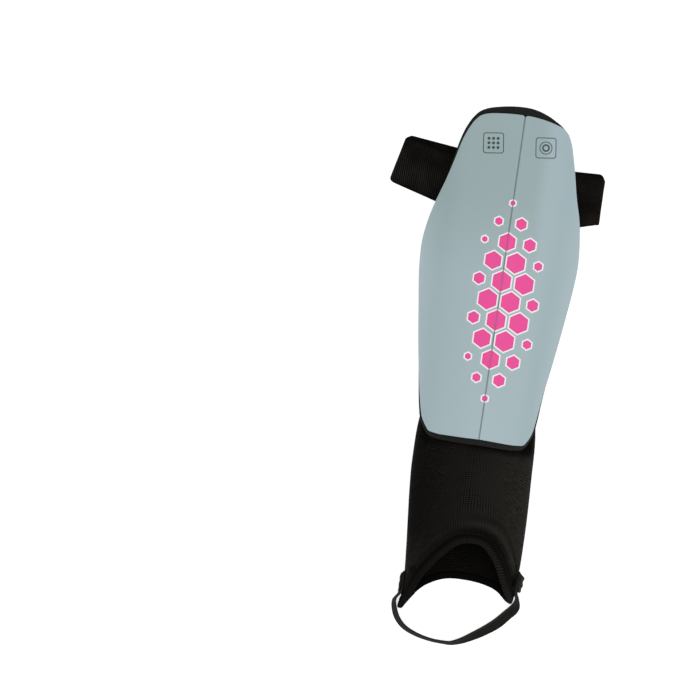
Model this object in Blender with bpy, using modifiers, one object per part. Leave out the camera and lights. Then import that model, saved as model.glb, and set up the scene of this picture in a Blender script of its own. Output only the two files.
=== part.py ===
"""Shin guard with an ankle sleeve, a calf strap and a stirrup.

The guard lies on its back with the shell up. +Y points to the knee, +Z away from the
floor, and the moulded groove runs over x = 0 before the whole guard is centred.
All lengths are in metres.
"""

import math

import bmesh
import bpy
import numpy as np
from mathutils import Vector

# Shell: plan outline, arch and wall
SHELL_LENGTH = 0.2154
SHELL_LEFT_HALF = 0.0558
SHELL_RIGHT_HALF = 0.0488
SHELL_WALL = 0.0023
SHELL_RIM_ROUNDING = 0.0006
KNEE_END_RISE = 0.0083
ANKLE_END_DIP = 0.0050
ARCH_RADIUS_KNEE = 0.062
ARCH_RADIUS_MIDDLE = 0.060
ARCH_RADIUS_ANKLE = 0.052
ARCH_SHIFT = -0.0030
KNEE_DROP = 0.0060
ANKLE_LIFT = 0.0045
RIDGE_HEIGHT = 0.0008
RIDGE_REACH = 0.014
GROOVE_WIDTH = 0.0012
GROOVE_DEPTH = 0.0005
GROOVE_RUN_OUT = 0.0040
NOTCH_RADIUS = 0.0013
NOTCH_SET_BACK = 0.0005
NOTCH_CUT_HEIGHT = 0.0200

# Foam liner: thickness and how far it shows past the shell
LINER_THICKNESS = 0.0045
LINER_RIM_ROUNDING = 0.0012
LINER_KNEE_LIP = 0.0055
LINER_LEFT_SHOULDER_LIP = 0.0034
LINER_RIGHT_SHOULDER_LIP = 0.0008
LINER_SIDE_LIP = 0.0008
LINER_ANKLE_LIP = 0.0038
LINER_ANKLE_CORNER_LIP = 0.0032

# Ankle sleeve, measured on its outer face
SLEEVE_OVERLAP = 0.0170
SLEEVE_LENGTH = 0.1390
SLEEVE_HALF_WIDTH = 0.0420
SLEEVE_HEIGHT = 0.0330
SLEEVE_SIDE_HEIGHT = 0.0090
SLEEVE_SINK = 0.0025
SLEEVE_WALL = 0.0015
SLEEVE_DENT_DEPTH = 0.0016
SLEEVE_LINER_ROOM = 0.0016
SLEEVE_LINER_BLEND = 0.0020
SLEEVE_RELEASE_SLOPE = 0.8
SLEEVE_FRONT_SQUARENESS = 2.3
SLEEVE_BACK_SQUARENESS = 2.6
SLEEVE_GIRTH_LEVEL = 0.8
HEM_WIDTH = 0.0060
HEM_THICKNESS = 0.0024
HEM_PROUD = 0.0004
HEM_TURN_SPAN = 0.0110
HEM_SEAM = 0.0016

# Calf strap and the patch that its right end fastens to
STRAP_WIDTH = 0.0330
STRAP_THICKNESS = 0.0015
STRAP_REACH_LEFT = 0.0817
STRAP_REACH_RIGHT = 0.0576
STRAP_LEVEL = 0.1675
STRAP_FOLD_RADIUS = 0.0011
CLOSURE_THICKNESS = 0.0010
CLOSURE_LENGTH = 0.0140
CLOSURE_WIDTH = 0.0290

# Stirrup and its sewn ends
STIRRUP_WIDTH = 0.0100
STIRRUP_THICKNESS = 0.0013
STIRRUP_DROOP = 0.1373
STIRRUP_REACH_LEFT = 0.0400
STIRRUP_REACH_RIGHT = 0.0415
TAB_LENGTH = 0.0140
TAB_HEIGHT = 0.0112
TAB_THICKNESS = 0.0014
TAB_ROUNDING = 0.0005
LEFT_TAB_MIDDLE = -0.1012
RIGHT_TAB_MIDDLE = -0.0908

# Space left between pieces that touch or are sewn to each other
GAP = 0.0003
SEWN_GAP = 0.0009

# Mesh density
SHELL_COLUMNS_PER_HALF = 9
SHELL_ROWS = 26
SHELL_EVEN_SHARE = 0.55
SLEEVE_COLUMNS = 44
SLEEVE_ROWS = 15
HEM_ROWS = 3
STRAP_COLUMNS = 4
STRAP_STEP = 0.0065
FOLD_STEPS = 5
CLOSURE_COLUMNS = 3
CLOSURE_ROWS = 4
STIRRUP_COLUMNS = 2
STIRRUP_STEP = 0.0055
SECTION_STEPS = 144
SLOPE_STEP = 0.0004
ANGLE_STEP = 0.01

# Side edges of the shell: share of its length, then shares of its half widths
SHELL_SIDES = (
    {"along": 0.014, "left": 0.651, "right": 0.668},
    {"along": 0.035, "left": 0.699, "right": 0.703},
    {"along": 0.070, "left": 0.738, "right": 0.730},
    {"along": 0.140, "left": 0.792, "right": 0.768},
    {"along": 0.244, "left": 0.860, "right": 0.840},
    {"along": 0.384, "left": 0.935, "right": 0.926},
    {"along": 0.488, "left": 0.986, "right": 0.980},
    {"along": 0.558, "left": 1.000, "right": 1.000},
    {"along": 0.628, "left": 0.971, "right": 0.980},
    {"along": 0.698, "left": 0.905, "right": 0.932},
    {"along": 0.767, "left": 0.821, "right": 0.850},
    {"along": 0.837, "left": 0.749, "right": 0.783},
    {"along": 0.893, "left": 0.695, "right": 0.723},
    {"along": 0.930, "left": 0.643, "right": 0.676},
    {"along": 0.956, "left": 0.591, "right": 0.621},
)

# Ends of the shell: share of the corner's distance from the groove, then share of the
# knee end's rise or of the ankle end's dip
KNEE_END = (
    {"across": -1.00, "rise": 0.00},
    {"across": -0.90, "rise": 0.46},
    {"across": -0.76, "rise": 0.73},
    {"across": -0.50, "rise": 0.90},
    {"across": -0.20, "rise": 0.99},
    {"across": 0.00, "rise": 1.00},
    {"across": 0.33, "rise": 0.92},
    {"across": 0.67, "rise": 0.66},
    {"across": 0.90, "rise": 0.34},
    {"across": 1.00, "rise": 0.00},
)
ANKLE_END = (
    {"across": -1.00, "dip": 0.00},
    {"across": -0.94, "dip": 0.55},
    {"across": -0.83, "dip": 0.80},
    {"across": -0.71, "dip": 0.90},
    {"across": -0.30, "dip": 0.90},
    {"across": 0.00, "dip": 0.86},
    {"across": 0.30, "dip": 0.92},
    {"across": 0.61, "dip": 1.00},
    {"across": 0.80, "dip": 0.95},
    {"across": 0.92, "dip": 0.75},
    {"across": 1.00, "dip": 0.00},
)

# Sleeve sections: share of its length from the upper end, then shares of its half
# width on each side of the groove, of its height and of the height of its widest line
SLEEVE_SECTIONS = (
    {"along": 0.00, "left": 0.945, "right": 0.845, "top": 1.00, "side": 1.00},
    {"along": 0.12, "left": 0.983, "right": 0.893, "top": 1.00, "side": 1.00},
    {"along": 0.27, "left": 0.988, "right": 0.912, "top": 0.99, "side": 1.00},
    {"along": 0.41, "left": 0.964, "right": 0.929, "top": 0.95, "side": 1.00},
    {"along": 0.55, "left": 0.924, "right": 0.938, "top": 0.90, "side": 0.98},
    {"along": 0.70, "left": 0.880, "right": 0.934, "top": 0.84, "side": 0.95},
    {"along": 0.84, "left": 0.852, "right": 0.902, "top": 0.78, "side": 0.93},
    {"along": 0.92, "left": 0.860, "right": 0.862, "top": 0.74, "side": 0.92},
    {"along": 1.00, "left": 0.908, "right": 0.820, "top": 0.70, "side": 0.92},
)

# Hem of the foot opening, once round the sleeve from its right side over the front:
# angle round the sleeve and share of the sleeve's length
HEM_LINE = (
    {"around": 0.0, "along": 0.886},
    {"around": 15.0, "along": 0.880},
    {"around": 30.0, "along": 0.858},
    {"around": 45.0, "along": 0.799},
    {"around": 60.0, "along": 0.705},
    {"around": 73.0, "along": 0.641},
    {"around": 83.0, "along": 0.624},
    {"around": 93.0, "along": 0.636},
    {"around": 105.0, "along": 0.688},
    {"around": 120.0, "along": 0.762},
    {"around": 135.0, "along": 0.842},
    {"around": 150.0, "along": 0.938},
    {"around": 162.0, "along": 0.976},
    {"around": 180.0, "along": 0.976},
    {"around": 195.0, "along": 0.972},
    {"around": 210.0, "along": 0.955},
    {"around": 222.0, "along": 0.912},
    {"around": 240.0, "along": 0.852},
    {"around": 270.0, "along": 0.796},
    {"around": 300.0, "along": 0.824},
    {"around": 330.0, "along": 0.876},
)

# Soft dents in the sleeve's front: place as shares of the half width and of the length,
# size as shares of the same, depth as a share of the deepest dent, turn in degrees
SLEEVE_DENTS = (
    {"across": 0.30, "along": 0.215, "wide": 0.55, "long": 0.040, "depth": 1.00, "turn": -8.0},
    {"across": -0.45, "along": 0.235, "wide": 0.40, "long": 0.035, "depth": 0.55, "turn": 6.0},
    {"across": 0.52, "along": 0.615, "wide": 0.42, "long": 0.035, "depth": 0.90, "turn": -38.0},
    {"across": -0.62, "along": 0.600, "wide": 0.35, "long": 0.030, "depth": 0.60, "turn": 22.0},
)

# Calf strap, end to end: knee and ankle edges as shares of the reach on that side and
# of the strap's width, measured from its level. The ply tells what it lies on
STRAP_STATIONS = (
    {"knee_x": -0.27, "knee_y": 0.31, "ankle_x": -0.32, "ankle_y": -0.66, "ply": "upper"},
    {"knee_x": -0.51, "knee_y": 0.45, "ankle_x": -0.61, "ankle_y": -0.53, "ply": "upper"},
    {"knee_x": -0.88, "knee_y": 0.65, "ankle_x": -0.985, "ankle_y": -0.27, "ply": "upper"},
    {"knee_x": -0.91, "knee_y": 0.72, "ankle_x": -1.00, "ankle_y": -0.27, "ply": "lower"},
    {"knee_x": -0.50, "knee_y": 0.60, "ankle_x": -0.56, "ankle_y": -0.43, "ply": "lower"},
    {"knee_x": 0.00, "knee_y": 0.48, "ankle_x": 0.00, "ankle_y": -0.52, "ply": "lower"},
    {"knee_x": 1.00, "knee_y": 0.39, "ankle_x": 0.99, "ankle_y": -0.53, "ply": "lower"},
    {"knee_x": 0.945, "knee_y": 0.48, "ankle_x": 0.985, "ankle_y": -0.54, "ply": "upper"},
    {"knee_x": 0.66, "knee_y": 0.46, "ankle_x": 0.80, "ankle_y": -0.63, "ply": "upper"},
    {"knee_x": 0.36, "knee_y": 0.42, "ankle_x": 0.45, "ankle_y": -0.73, "ply": "upper"},
)

# Free run of the stirrup from the left tab to the right one: shares of its reach on
# that side and of its droop, the lean of its face, and the height of its lower edge
# as a share of its width
STIRRUP_STATIONS = (
    {"across": -0.955, "along": 0.806, "lean": 88.0, "lift": 0.28},
    {"across": -1.000, "along": 0.834, "lean": 80.0, "lift": 0.16},
    {"across": -0.975, "along": 0.872, "lean": 75.0, "lift": 0.06},
    {"across": -0.910, "along": 0.913, "lean": 74.0, "lift": 0.02},
    {"across": -0.790, "along": 0.950, "lean": 76.0, "lift": 0.02},
    {"across": -0.580, "along": 0.979, "lean": 79.0, "lift": 0.02},
    {"across": -0.300, "along": 0.997, "lean": 82.0, "lift": 0.02},
    {"across": -0.025, "along": 1.000, "lean": 80.0, "lift": 0.02},
    {"across": 0.150, "along": 0.985, "lean": 72.0, "lift": 0.02},
    {"across": 0.360, "along": 0.950, "lean": 61.0, "lift": 0.02},
    {"across": 0.550, "along": 0.912, "lean": 54.0, "lift": 0.03},
    {"across": 0.715, "along": 0.872, "lean": 49.0, "lift": 0.05},
    {"across": 0.840, "along": 0.830, "lean": 50.0, "lift": 0.10},
    {"across": 0.958, "along": 0.786, "lean": 54.0, "lift": 0.16},
    {"across": 0.970, "along": 0.746, "lean": 79.0, "lift": 0.28},
)

SHELL_GREY = (0.35, 0.44, 0.44)
FOAM_BLACK = (0.030, 0.030, 0.030)
KNIT_BLACK = (0.012, 0.011, 0.010)
ELASTIC_BLACK = (0.014, 0.013, 0.012)


def follow(rows, key, value, at):
    """Read a column of a table at any place, along a smooth curve through its rows."""
    xs = np.array([row[key] for row in rows])
    ys = np.array([row[value] for row in rows])
    steps = np.diff(ys) / np.diff(xs)
    slopes = np.concatenate(([steps[0]], (steps[:-1] + steps[1:]) / 2.0, [steps[-1]]))
    turning = steps[:-1] * steps[1:] <= 0.0
    slopes[1:-1][turning] = 0.0
    at = np.clip(at, xs[0], xs[-1])
    i = np.clip(np.searchsorted(xs, at, side="right") - 1, 0, len(xs) - 2)
    width = xs[i + 1] - xs[i]
    t = (at - xs[i]) / width
    start = ys[i] * (1 + 2 * t) * (1 - t) ** 2 + slopes[i] * width * t * (1 - t) ** 2
    end = ys[i + 1] * t ** 2 * (3 - 2 * t) + slopes[i + 1] * width * t ** 2 * (t - 1)
    return start + end


def follow_round(rows, key, value, at, turn):
    """Read a column of a table that closes on itself after one turn."""
    before = [{**row, key: row[key] - turn} for row in rows[-2:]]
    after = [{**row, key: row[key] + turn} for row in rows[:2]]
    return follow((*before, *rows, *after), key, value, np.mod(at, turn))


def ease(low, high, share):
    """Pass from low to high with a level start and finish."""
    share = np.clip(share, 0.0, 1.0)
    return low + (high - low) * share * share * (3.0 - 2.0 * share)


def lower_of(a, b, softness):
    """Take the lower of two heights, with a rounded change between them."""
    blend = np.clip(0.5 + 0.5 * (b - a) / softness, 0.0, 1.0)
    return b + (a - b) * blend - softness * blend * (1.0 - blend)


# Plan outline of the shell and of the liner

def edge_spacing(count):
    """Steps from 0 to 1 that are closer together near both ends."""
    even = np.linspace(0.0, 1.0, count + 1)
    crowded = 0.5 - 0.5 * np.cos(math.pi * even)
    return SHELL_EVEN_SHARE * even + (1.0 - SHELL_EVEN_SHARE) * crowded


def shell_outline():
    """The shell's four edges in plan: ankle, knee, left and right."""
    columns = SHELL_COLUMNS_PER_HALF
    half = edge_spacing(2 * columns)[:columns + 1] * 2.0
    across = np.concatenate((half - 1.0, (1.0 - half)[::-1][1:]))
    rows = edge_spacing(SHELL_ROWS)
    first, last = SHELL_SIDES[0]["along"], SHELL_SIDES[-1]["along"]
    along = first + (last - first) * rows
    y = along * SHELL_LENGTH
    left = -follow(SHELL_SIDES, "along", "left", along) * SHELL_LEFT_HALF
    right = follow(SHELL_SIDES, "along", "right", along) * SHELL_RIGHT_HALF
    knee_x = np.abs(across) * np.where(across < 0.0, left[-1], right[-1])
    ankle_x = np.abs(across) * np.where(across < 0.0, left[0], right[0])
    knee_y = y[-1] + follow(KNEE_END, "across", "rise", across) * KNEE_END_RISE
    ankle_y = y[0] - follow(ANKLE_END, "across", "dip", across) * ANKLE_END_DIP
    return {
        "ankle": np.column_stack((ankle_x, ankle_y)),
        "knee": np.column_stack((knee_x, knee_y)),
        "left": np.column_stack((left, y)),
        "right": np.column_stack((right, y)),
    }


def widened_outline(outline, lips):
    """Move an outline outwards by lips given at its corners and mid edges."""
    ankle, right = outline["ankle"], outline["right"]
    knee, left = outline["knee"][::-1], outline["left"][::-1]
    edges = (ankle[:-1], right[:-1], knee[:-1], left[:-1])
    loop = np.concatenate(edges)
    lip = []
    for edge, (start, middle, end) in zip(edges, lips):
        share = np.arange(len(edge)) / len(edge)
        first_half = ease(start, middle, share * 2.0)
        second_half = ease(middle, end, share * 2.0 - 1.0)
        lip.append(np.where(share < 0.5, first_half, second_half))
    tangent = np.roll(loop, -1, axis=0) - np.roll(loop, 1, axis=0)
    outward = np.column_stack((tangent[:, 1], -tangent[:, 0]))
    outward /= np.linalg.norm(outward, axis=1)[:, None]
    loop = loop + outward * np.concatenate(lip)[:, None]
    closed = np.concatenate((loop, loop[:1]))
    ends = np.cumsum([0] + [len(edge) for edge in edges])
    pieces = [closed[ends[k]:ends[k + 1] + 1] for k in range(len(edges))]
    return {
        "ankle": pieces[0],
        "right": pieces[1],
        "knee": pieces[2][::-1],
        "left": pieces[3][::-1],
    }


def liner_outline():
    """The liner's edges in plan: the shell's, with a lip all round."""
    knee = LINER_KNEE_LIP
    side = LINER_SIDE_LIP
    ankle = LINER_ANKLE_LIP
    left_shoulder = LINER_LEFT_SHOULDER_LIP
    right_shoulder = LINER_RIGHT_SHOULDER_LIP
    corner = LINER_ANKLE_CORNER_LIP
    lips = (
        (corner, ankle, corner),
        (corner, side, right_shoulder),
        (right_shoulder, knee, left_shoulder),
        (left_shoulder, side, corner),
    )
    return widened_outline(shell_outline(), lips)


def plan_grid(outline):
    """Fill an outline with a grid of points whose middle column is the groove."""
    ankle, knee = outline["ankle"], outline["knee"]
    middle = len(ankle) // 2
    rows = len(outline["left"])
    share = (outline["left"][:, 1] - outline["left"][0, 1]) / np.ptp(outline["left"][:, 1])
    groove = ankle[middle] + share[:, None] * (knee[middle] - ankle[middle])
    grid = np.zeros((rows, len(ankle), 2))
    for side, indices in (("left", range(middle, -1, -1)), ("right", range(middle, len(ankle)))):
        edge = outline[side]
        indices = list(indices)
        reach = np.abs(ankle[indices, 0] / ankle[indices[-1], 0])
        for u, i in zip(reach, indices):
            for row in range(rows):
                v = share[row]
                along_rows = (1 - u) * groove[row] + u * edge[row]
                along_columns = (1 - v) * ankle[i] + v * knee[i]
                corners = (1 - u) * (1 - v) * groove[0] + (1 - u) * v * groove[-1]
                corners = corners + u * (1 - v) * edge[0] + u * v * edge[-1]
                grid[row, i] = along_rows + along_columns - corners
    return grid


# Arched form that the shell, the liner, the strap and the sleeve all follow

LINER_DEPTH = SHELL_WALL + GAP
LINER_INNER_DEPTH = LINER_DEPTH + LINER_THICKNESS
CROWN_LINE = (
    {"along": -0.60, "lift": 1.35, "drop": 0.00},
    {"along": 0.00, "lift": 1.00, "drop": 0.00},
    {"along": 0.54, "lift": 0.00, "drop": 0.00},
    {"along": 1.00, "lift": 0.00, "drop": 1.00},
    {"along": 1.10, "lift": 0.00, "drop": 1.20},
)
ARCH_RADII = (
    {"along": -0.60, "radius": ARCH_RADIUS_ANKLE},
    {"along": 0.00, "radius": ARCH_RADIUS_ANKLE},
    {"along": 0.54, "radius": ARCH_RADIUS_MIDDLE},
    {"along": 1.10, "radius": ARCH_RADIUS_KNEE},
)


def arch_radius(y):
    """Radius of the shell's outer face across the guard."""
    return follow(ARCH_RADII, "along", "radius", y / SHELL_LENGTH)


def crown_line(y):
    """How far the crown lies over its height at the middle of the shell."""
    along = y / SHELL_LENGTH
    lift = follow(CROWN_LINE, "along", "lift", along) * ANKLE_LIFT
    return lift - follow(CROWN_LINE, "along", "drop", along) * KNEE_DROP


def rim_angle(x, y):
    """Angle from the arch's crown to a point of an outline."""
    return np.arcsin((x - ARCH_SHIFT) / arch_radius(y))


def lying_height():
    """Crown height at which the strap's plies just fit between the rim and the floor."""
    outline = liner_outline()
    rim = np.concatenate((outline["left"], outline["right"]))
    x, y = rim[:, 0], rim[:, 1]
    radius = arch_radius(y)
    drop = radius - (radius - LINER_INNER_DEPTH) * np.cos(rim_angle(x, y))
    return float(np.max(drop - crown_line(y))) + STRAP_THICKNESS


CROWN_HEIGHT = lying_height()


def crown(y):
    """Height of the shell's outer face over its middle line."""
    return CROWN_HEIGHT + crown_line(y)


def shell_height(x, y):
    """Height of the shell's outer face, an arch with a faint ridge at the groove."""
    radius = arch_radius(y)
    arch = np.sqrt(radius ** 2 - (x - ARCH_SHIFT) ** 2) - radius
    return crown(y) + arch + RIDGE_HEIGHT * np.exp(-np.abs(x) / RIDGE_REACH)


def shell_point(x, y, depth):
    """Point at a depth under the shell's outer face, along its normal."""
    step = SLOPE_STEP
    slope_x = (shell_height(x + step, y) - shell_height(x - step, y)) / (2 * step)
    slope_y = (shell_height(x, y + step) - shell_height(x, y - step)) / (2 * step)
    normal = Vector((-slope_x, -slope_y, 1.0)).normalized()
    return Vector((x, y, float(shell_height(x, y)))) - normal * depth


LINER_EDGES = liner_outline()


def rim_at(side, y):
    """Angle of the liner's side rim from the crown."""
    edge = LINER_EDGES[side]
    y = np.clip(y, edge[0, 1], edge[-1, 1])
    return rim_angle(np.interp(y, edge[:, 1], edge[:, 0]), y)


def under_liner(x, y, distance):
    """Height at a distance inside the liner's inner face, level past its side rims."""
    y = np.clip(y, LINER_EDGES["left"][0, 1], LINER_EDGES["left"][-1, 1])
    radius = arch_radius(y)
    inner_radius = radius - LINER_INNER_DEPTH - distance
    sine = np.clip((x - ARCH_SHIFT) / inner_radius, -1.0, 1.0)
    angle = np.clip(np.arcsin(sine), rim_at("left", y), rim_at("right", y))
    return crown(y) - radius + inner_radius * np.cos(angle)


# Ankle sleeve

def sleeve_value(column, y):
    """One column of the sleeve's sections, read at y."""
    return follow(SLEEVE_SECTIONS, "along", column, (SLEEVE_OVERLAP - y) / SLEEVE_LENGTH)


def dent(x, y):
    """How far the sleeve's front is pressed in at a point."""
    total = np.zeros_like(np.asarray(x, dtype=float))
    for row in SLEEVE_DENTS:
        angle = math.radians(row["turn"])
        dx = x - row["across"] * SLEEVE_HALF_WIDTH
        dy = y - (SLEEVE_OVERLAP - row["along"] * SLEEVE_LENGTH)
        wide = (dx * math.cos(angle) + dy * math.sin(angle)) / (row["wide"] * SLEEVE_HALF_WIDTH)
        long = (dy * math.cos(angle) - dx * math.sin(angle)) / (row["long"] * SLEEVE_LENGTH)
        total = total + row["depth"] * np.exp(-(wide ** 2) - long ** 2)
    return total * SLEEVE_DENT_DEPTH


def sleeve_section(y, angles):
    """Outer face of the sleeve at y: a flat-bottomed oval under the liner's arch."""
    left = -sleeve_value("left", y) * SLEEVE_HALF_WIDTH
    right = sleeve_value("right", y) * SLEEVE_HALF_WIDTH
    top = sleeve_value("top", y) * SLEEVE_HEIGHT
    side = sleeve_value("side", y) * SLEEVE_SIDE_HEIGHT
    cosine, sine = np.cos(angles), np.sin(angles)
    roundness = 2.0 / np.where(sine > 0.0, SLEEVE_FRONT_SQUARENESS, SLEEVE_BACK_SQUARENESS)
    x = (left + right) / 2.0 + (right - left) / 2.0 * np.sign(cosine) * np.abs(cosine) ** roundness
    front = side + (top - side) * np.abs(sine) ** roundness - dent(x, y)
    clear_of_liner = LINER_EDGES["ankle"][:, 1].min() - y
    ceiling = under_liner(x, y, SLEEVE_LINER_ROOM)
    ceiling = ceiling + SLEEVE_RELEASE_SLOPE * np.maximum(clear_of_liner, 0.0)
    front = lower_of(front, ceiling, SLEEVE_LINER_BLEND)
    back = np.maximum(side - (side + SLEEVE_SINK) * np.abs(sine) ** roundness, 0.0)
    return np.column_stack((x, np.full_like(x, y), np.where(sine > 0.0, front, back)))


def sleeve_girth():
    """Angles round the sleeve and the girth up to each, near the hem."""
    angles = np.linspace(0.0, 2.0 * math.pi, SECTION_STEPS + 1)
    ring = sleeve_section(SLEEVE_OVERLAP - SLEEVE_GIRTH_LEVEL * SLEEVE_LENGTH, angles)
    steps = np.linalg.norm(np.diff(ring, axis=0), axis=1)
    return angles, np.concatenate(([0.0], np.cumsum(steps)))


def hem_point(girth_at, inset):
    """Angle and y of a point that lies an inset above the hem line, on the sleeve."""
    angles, girth = sleeve_girth()
    total = girth[-1]
    step = HEM_TURN_SPAN

    def hem_y(along_girth):
        turn = np.degrees(np.interp(np.mod(along_girth, total), girth, angles))
        along = follow_round(HEM_LINE, "around", "along", turn, 360.0)
        return SLEEVE_OVERLAP - along * SLEEVE_LENGTH

    slope = (hem_y(girth_at + step) - hem_y(girth_at - step)) / (2.0 * step)
    length = np.sqrt(1.0 + slope ** 2)
    moved = np.mod(girth_at - inset * slope / length, total)
    return np.interp(moved, girth, angles), hem_y(girth_at) + inset / length


def sleeve_point(angle, y, proud):
    """Point of the sleeve's outer face, or just outside it, never under the floor."""
    around = np.array([angle - ANGLE_STEP, angle, angle + ANGLE_STEP])
    before, here, after = sleeve_section(y, around)
    along = sleeve_section(y + SLOPE_STEP, np.array([angle]))[0] - here
    outward = np.cross(along, after - before)
    outward /= np.linalg.norm(outward)
    point = here + outward * proud
    point[2] = max(point[2], 0.0)
    return Vector(point)


# Mesh helpers

def new_object(name, mesh, colour, roughness, collection):
    """Link a mesh as a named object with a material of its own."""
    material = bpy.data.materials.new(name)
    material.use_nodes = True
    shader = material.node_tree.nodes["Principled BSDF"]
    shader.inputs["Base Color"].default_value = (*colour, 1.0)
    shader.inputs["Roughness"].default_value = roughness
    shader.inputs["Metallic"].default_value = 0.0
    mesh.materials.append(material)
    obj = bpy.data.objects.new(name, mesh)
    collection.objects.link(obj)
    mesh.shade_smooth()
    return obj


def mapped_grid(columns, rows, place, wrap=False):
    """A primitive grid whose vertices are moved by place(column, row)."""
    bm = bmesh.new()
    bmesh.ops.create_grid(bm, x_segments=columns, y_segments=rows, size=1.0)
    for vertex in bm.verts:
        column = round((vertex.co.x + 1.0) / 2.0 * columns)
        row = round((vertex.co.y + 1.0) / 2.0 * rows)
        vertex.co = place(column % columns if wrap else column, row)
    if wrap:
        bmesh.ops.remove_doubles(bm, verts=bm.verts, dist=1e-7)
    bmesh.ops.recalc_face_normals(bm, faces=bm.faces)
    mesh = bpy.data.meshes.new("grid")
    bm.to_mesh(mesh)
    bm.free()
    return mesh


def face_up(mesh):
    """Turn an open sheet's faces so that most of them look up."""
    if sum(polygon.normal.z * polygon.area for polygon in mesh.polygons) < 0.0:
        mesh.flip_normals()


def face_out(mesh):
    """Turn a tube's faces so that most of them look away from its middle."""
    middle = sum((v.co for v in mesh.vertices), Vector()) / len(mesh.vertices)
    outwards = 0.0
    for polygon in mesh.polygons:
        spoke = polygon.center - middle
        outwards += polygon.area * (polygon.normal.x * spoke.x + polygon.normal.z * spoke.z)
    if outwards < 0.0:
        mesh.flip_normals()


def thicken(obj, thickness, offset):
    """Give an open sheet a wall: offset -1 builds it inwards, 0 to both sides."""
    solidify = obj.modifiers.new("wall", "SOLIDIFY")
    solidify.thickness = thickness
    solidify.offset = offset


def round_rim(obj, width, segments):
    """Round the wall's rim and leave the faces alone."""
    bevel = obj.modifiers.new("rim", "BEVEL")
    bevel.width = width
    bevel.segments = segments
    bevel.limit_method = "ANGLE"
    bevel.angle_limit = math.radians(55.0)


# Pieces

def make_plate(name, outline, depth, wall, rounding, finish, collection):
    """An arched plate under the shell's outer face: the shell or the liner."""
    grid = plan_grid(outline)
    rows, columns = grid.shape[0] - 1, grid.shape[1] - 1

    def place(column, row):
        x, y = grid[row, column]
        return shell_point(x, y, depth)

    mesh = mapped_grid(columns, rows, place)
    face_up(mesh)
    obj = new_object(name, mesh, *finish, collection)
    thicken(obj, wall, -1.0)
    round_rim(obj, rounding, 2)
    return obj


def cut_groove(shell, cutters):
    """Cut the moulded groove along the shell and the notch at its knee end."""
    radius = GROOVE_WIDTH / 2.0
    sink = radius - GROOVE_DEPTH
    outline = shell_outline()
    start = outline["ankle"][:, 1].min() - GROOVE_RUN_OUT
    end = outline["knee"][:, 1].max() + GROOVE_RUN_OUT
    spline_data = bpy.data.curves.new("groove_cutter", "CURVE")
    spline_data.dimensions = "3D"
    spline_data.bevel_depth = radius
    spline_data.bevel_resolution = 1
    spline_data.use_fill_caps = True
    spline = spline_data.splines.new("POLY")
    spline.points.add(SHELL_ROWS)
    for point, y in zip(spline.points, np.linspace(start, end, SHELL_ROWS + 1)):
        point.co = (0.0, y, float(shell_height(0.0, y)) + sink, 1.0)
    curve = bpy.data.objects.new("groove_curve", spline_data)
    cutters.objects.link(curve)
    bpy.context.view_layer.update()
    depsgraph = bpy.context.evaluated_depsgraph_get()
    mesh = bpy.data.meshes.new_from_object(curve.evaluated_get(depsgraph))
    bpy.data.objects.remove(curve)
    bm = bmesh.new()
    bm.from_mesh(mesh)
    bmesh.ops.remove_doubles(bm, verts=bm.verts, dist=1e-6)
    bm.to_mesh(mesh)
    bm.free()
    groove = bpy.data.objects.new("groove_cutter", mesh)

    bm = bmesh.new()
    bmesh.ops.create_cone(
        bm, cap_ends=True, segments=12, radius1=NOTCH_RADIUS, radius2=NOTCH_RADIUS,
        depth=NOTCH_CUT_HEIGHT)
    notch_mesh = bpy.data.meshes.new("notch_cutter")
    bm.to_mesh(notch_mesh)
    bm.free()
    notch = bpy.data.objects.new("notch_cutter", notch_mesh)
    knee_y = outline["knee"][len(outline["knee"]) // 2, 1]
    notch.location = (0.0, knee_y + NOTCH_SET_BACK, float(shell_height(0.0, knee_y)))

    for cutter in (groove, notch):
        cutters.objects.link(cutter)
        cutter.hide_render = True
        cutter.display_type = "WIRE"
        cut = shell.modifiers.new(cutter.name, "BOOLEAN")
        cut.operation = "DIFFERENCE"
        cut.solver = "EXACT"
        cut.object = cutter


def make_sleeve(collection):
    """The knitted tube from under the liner down to the hem."""
    turns, girth = sleeve_girth()
    starts = np.arange(SLEEVE_COLUMNS) / SLEEVE_COLUMNS * girth[-1]
    angles = np.interp(starts, girth, turns)
    hem_angles, hem_ys = hem_point(starts, HEM_WIDTH + HEM_SEAM)
    shift = np.mod(hem_angles - angles + math.pi, 2.0 * math.pi) - math.pi

    def place(column, row):
        share = row / SLEEVE_ROWS
        angle = angles[column] + share * shift[column]
        y = SLEEVE_OVERLAP + share * (hem_ys[column] - SLEEVE_OVERLAP)
        return sleeve_point(angle, y, 0.0)

    mesh = mapped_grid(SLEEVE_COLUMNS, SLEEVE_ROWS, place, wrap=True)
    face_out(mesh)
    obj = new_object("ankle_sleeve", mesh, KNIT_BLACK, 0.95, collection)
    thicken(obj, SLEEVE_WALL, -1.0)
    return obj


def make_hem_band(collection):
    """The ribbed band that finishes the foot opening all round."""
    _, girth = sleeve_girth()
    starts = np.arange(SLEEVE_COLUMNS) / SLEEVE_COLUMNS * girth[-1]
    lines = [hem_point(starts, HEM_WIDTH * (1.0 - row / HEM_ROWS)) for row in range(HEM_ROWS + 1)]

    def place(column, row):
        hem_angles, hem_ys = lines[row]
        swell = math.sin(math.pi * row / HEM_ROWS)
        return sleeve_point(hem_angles[column], hem_ys[column], HEM_PROUD * swell)

    mesh = mapped_grid(SLEEVE_COLUMNS, HEM_ROWS, place, wrap=True)
    face_out(mesh)
    obj = new_object("hem_band", mesh, KNIT_BLACK, 0.95, collection)
    thicken(obj, HEM_THICKNESS, -1.0)
    return obj


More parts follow.
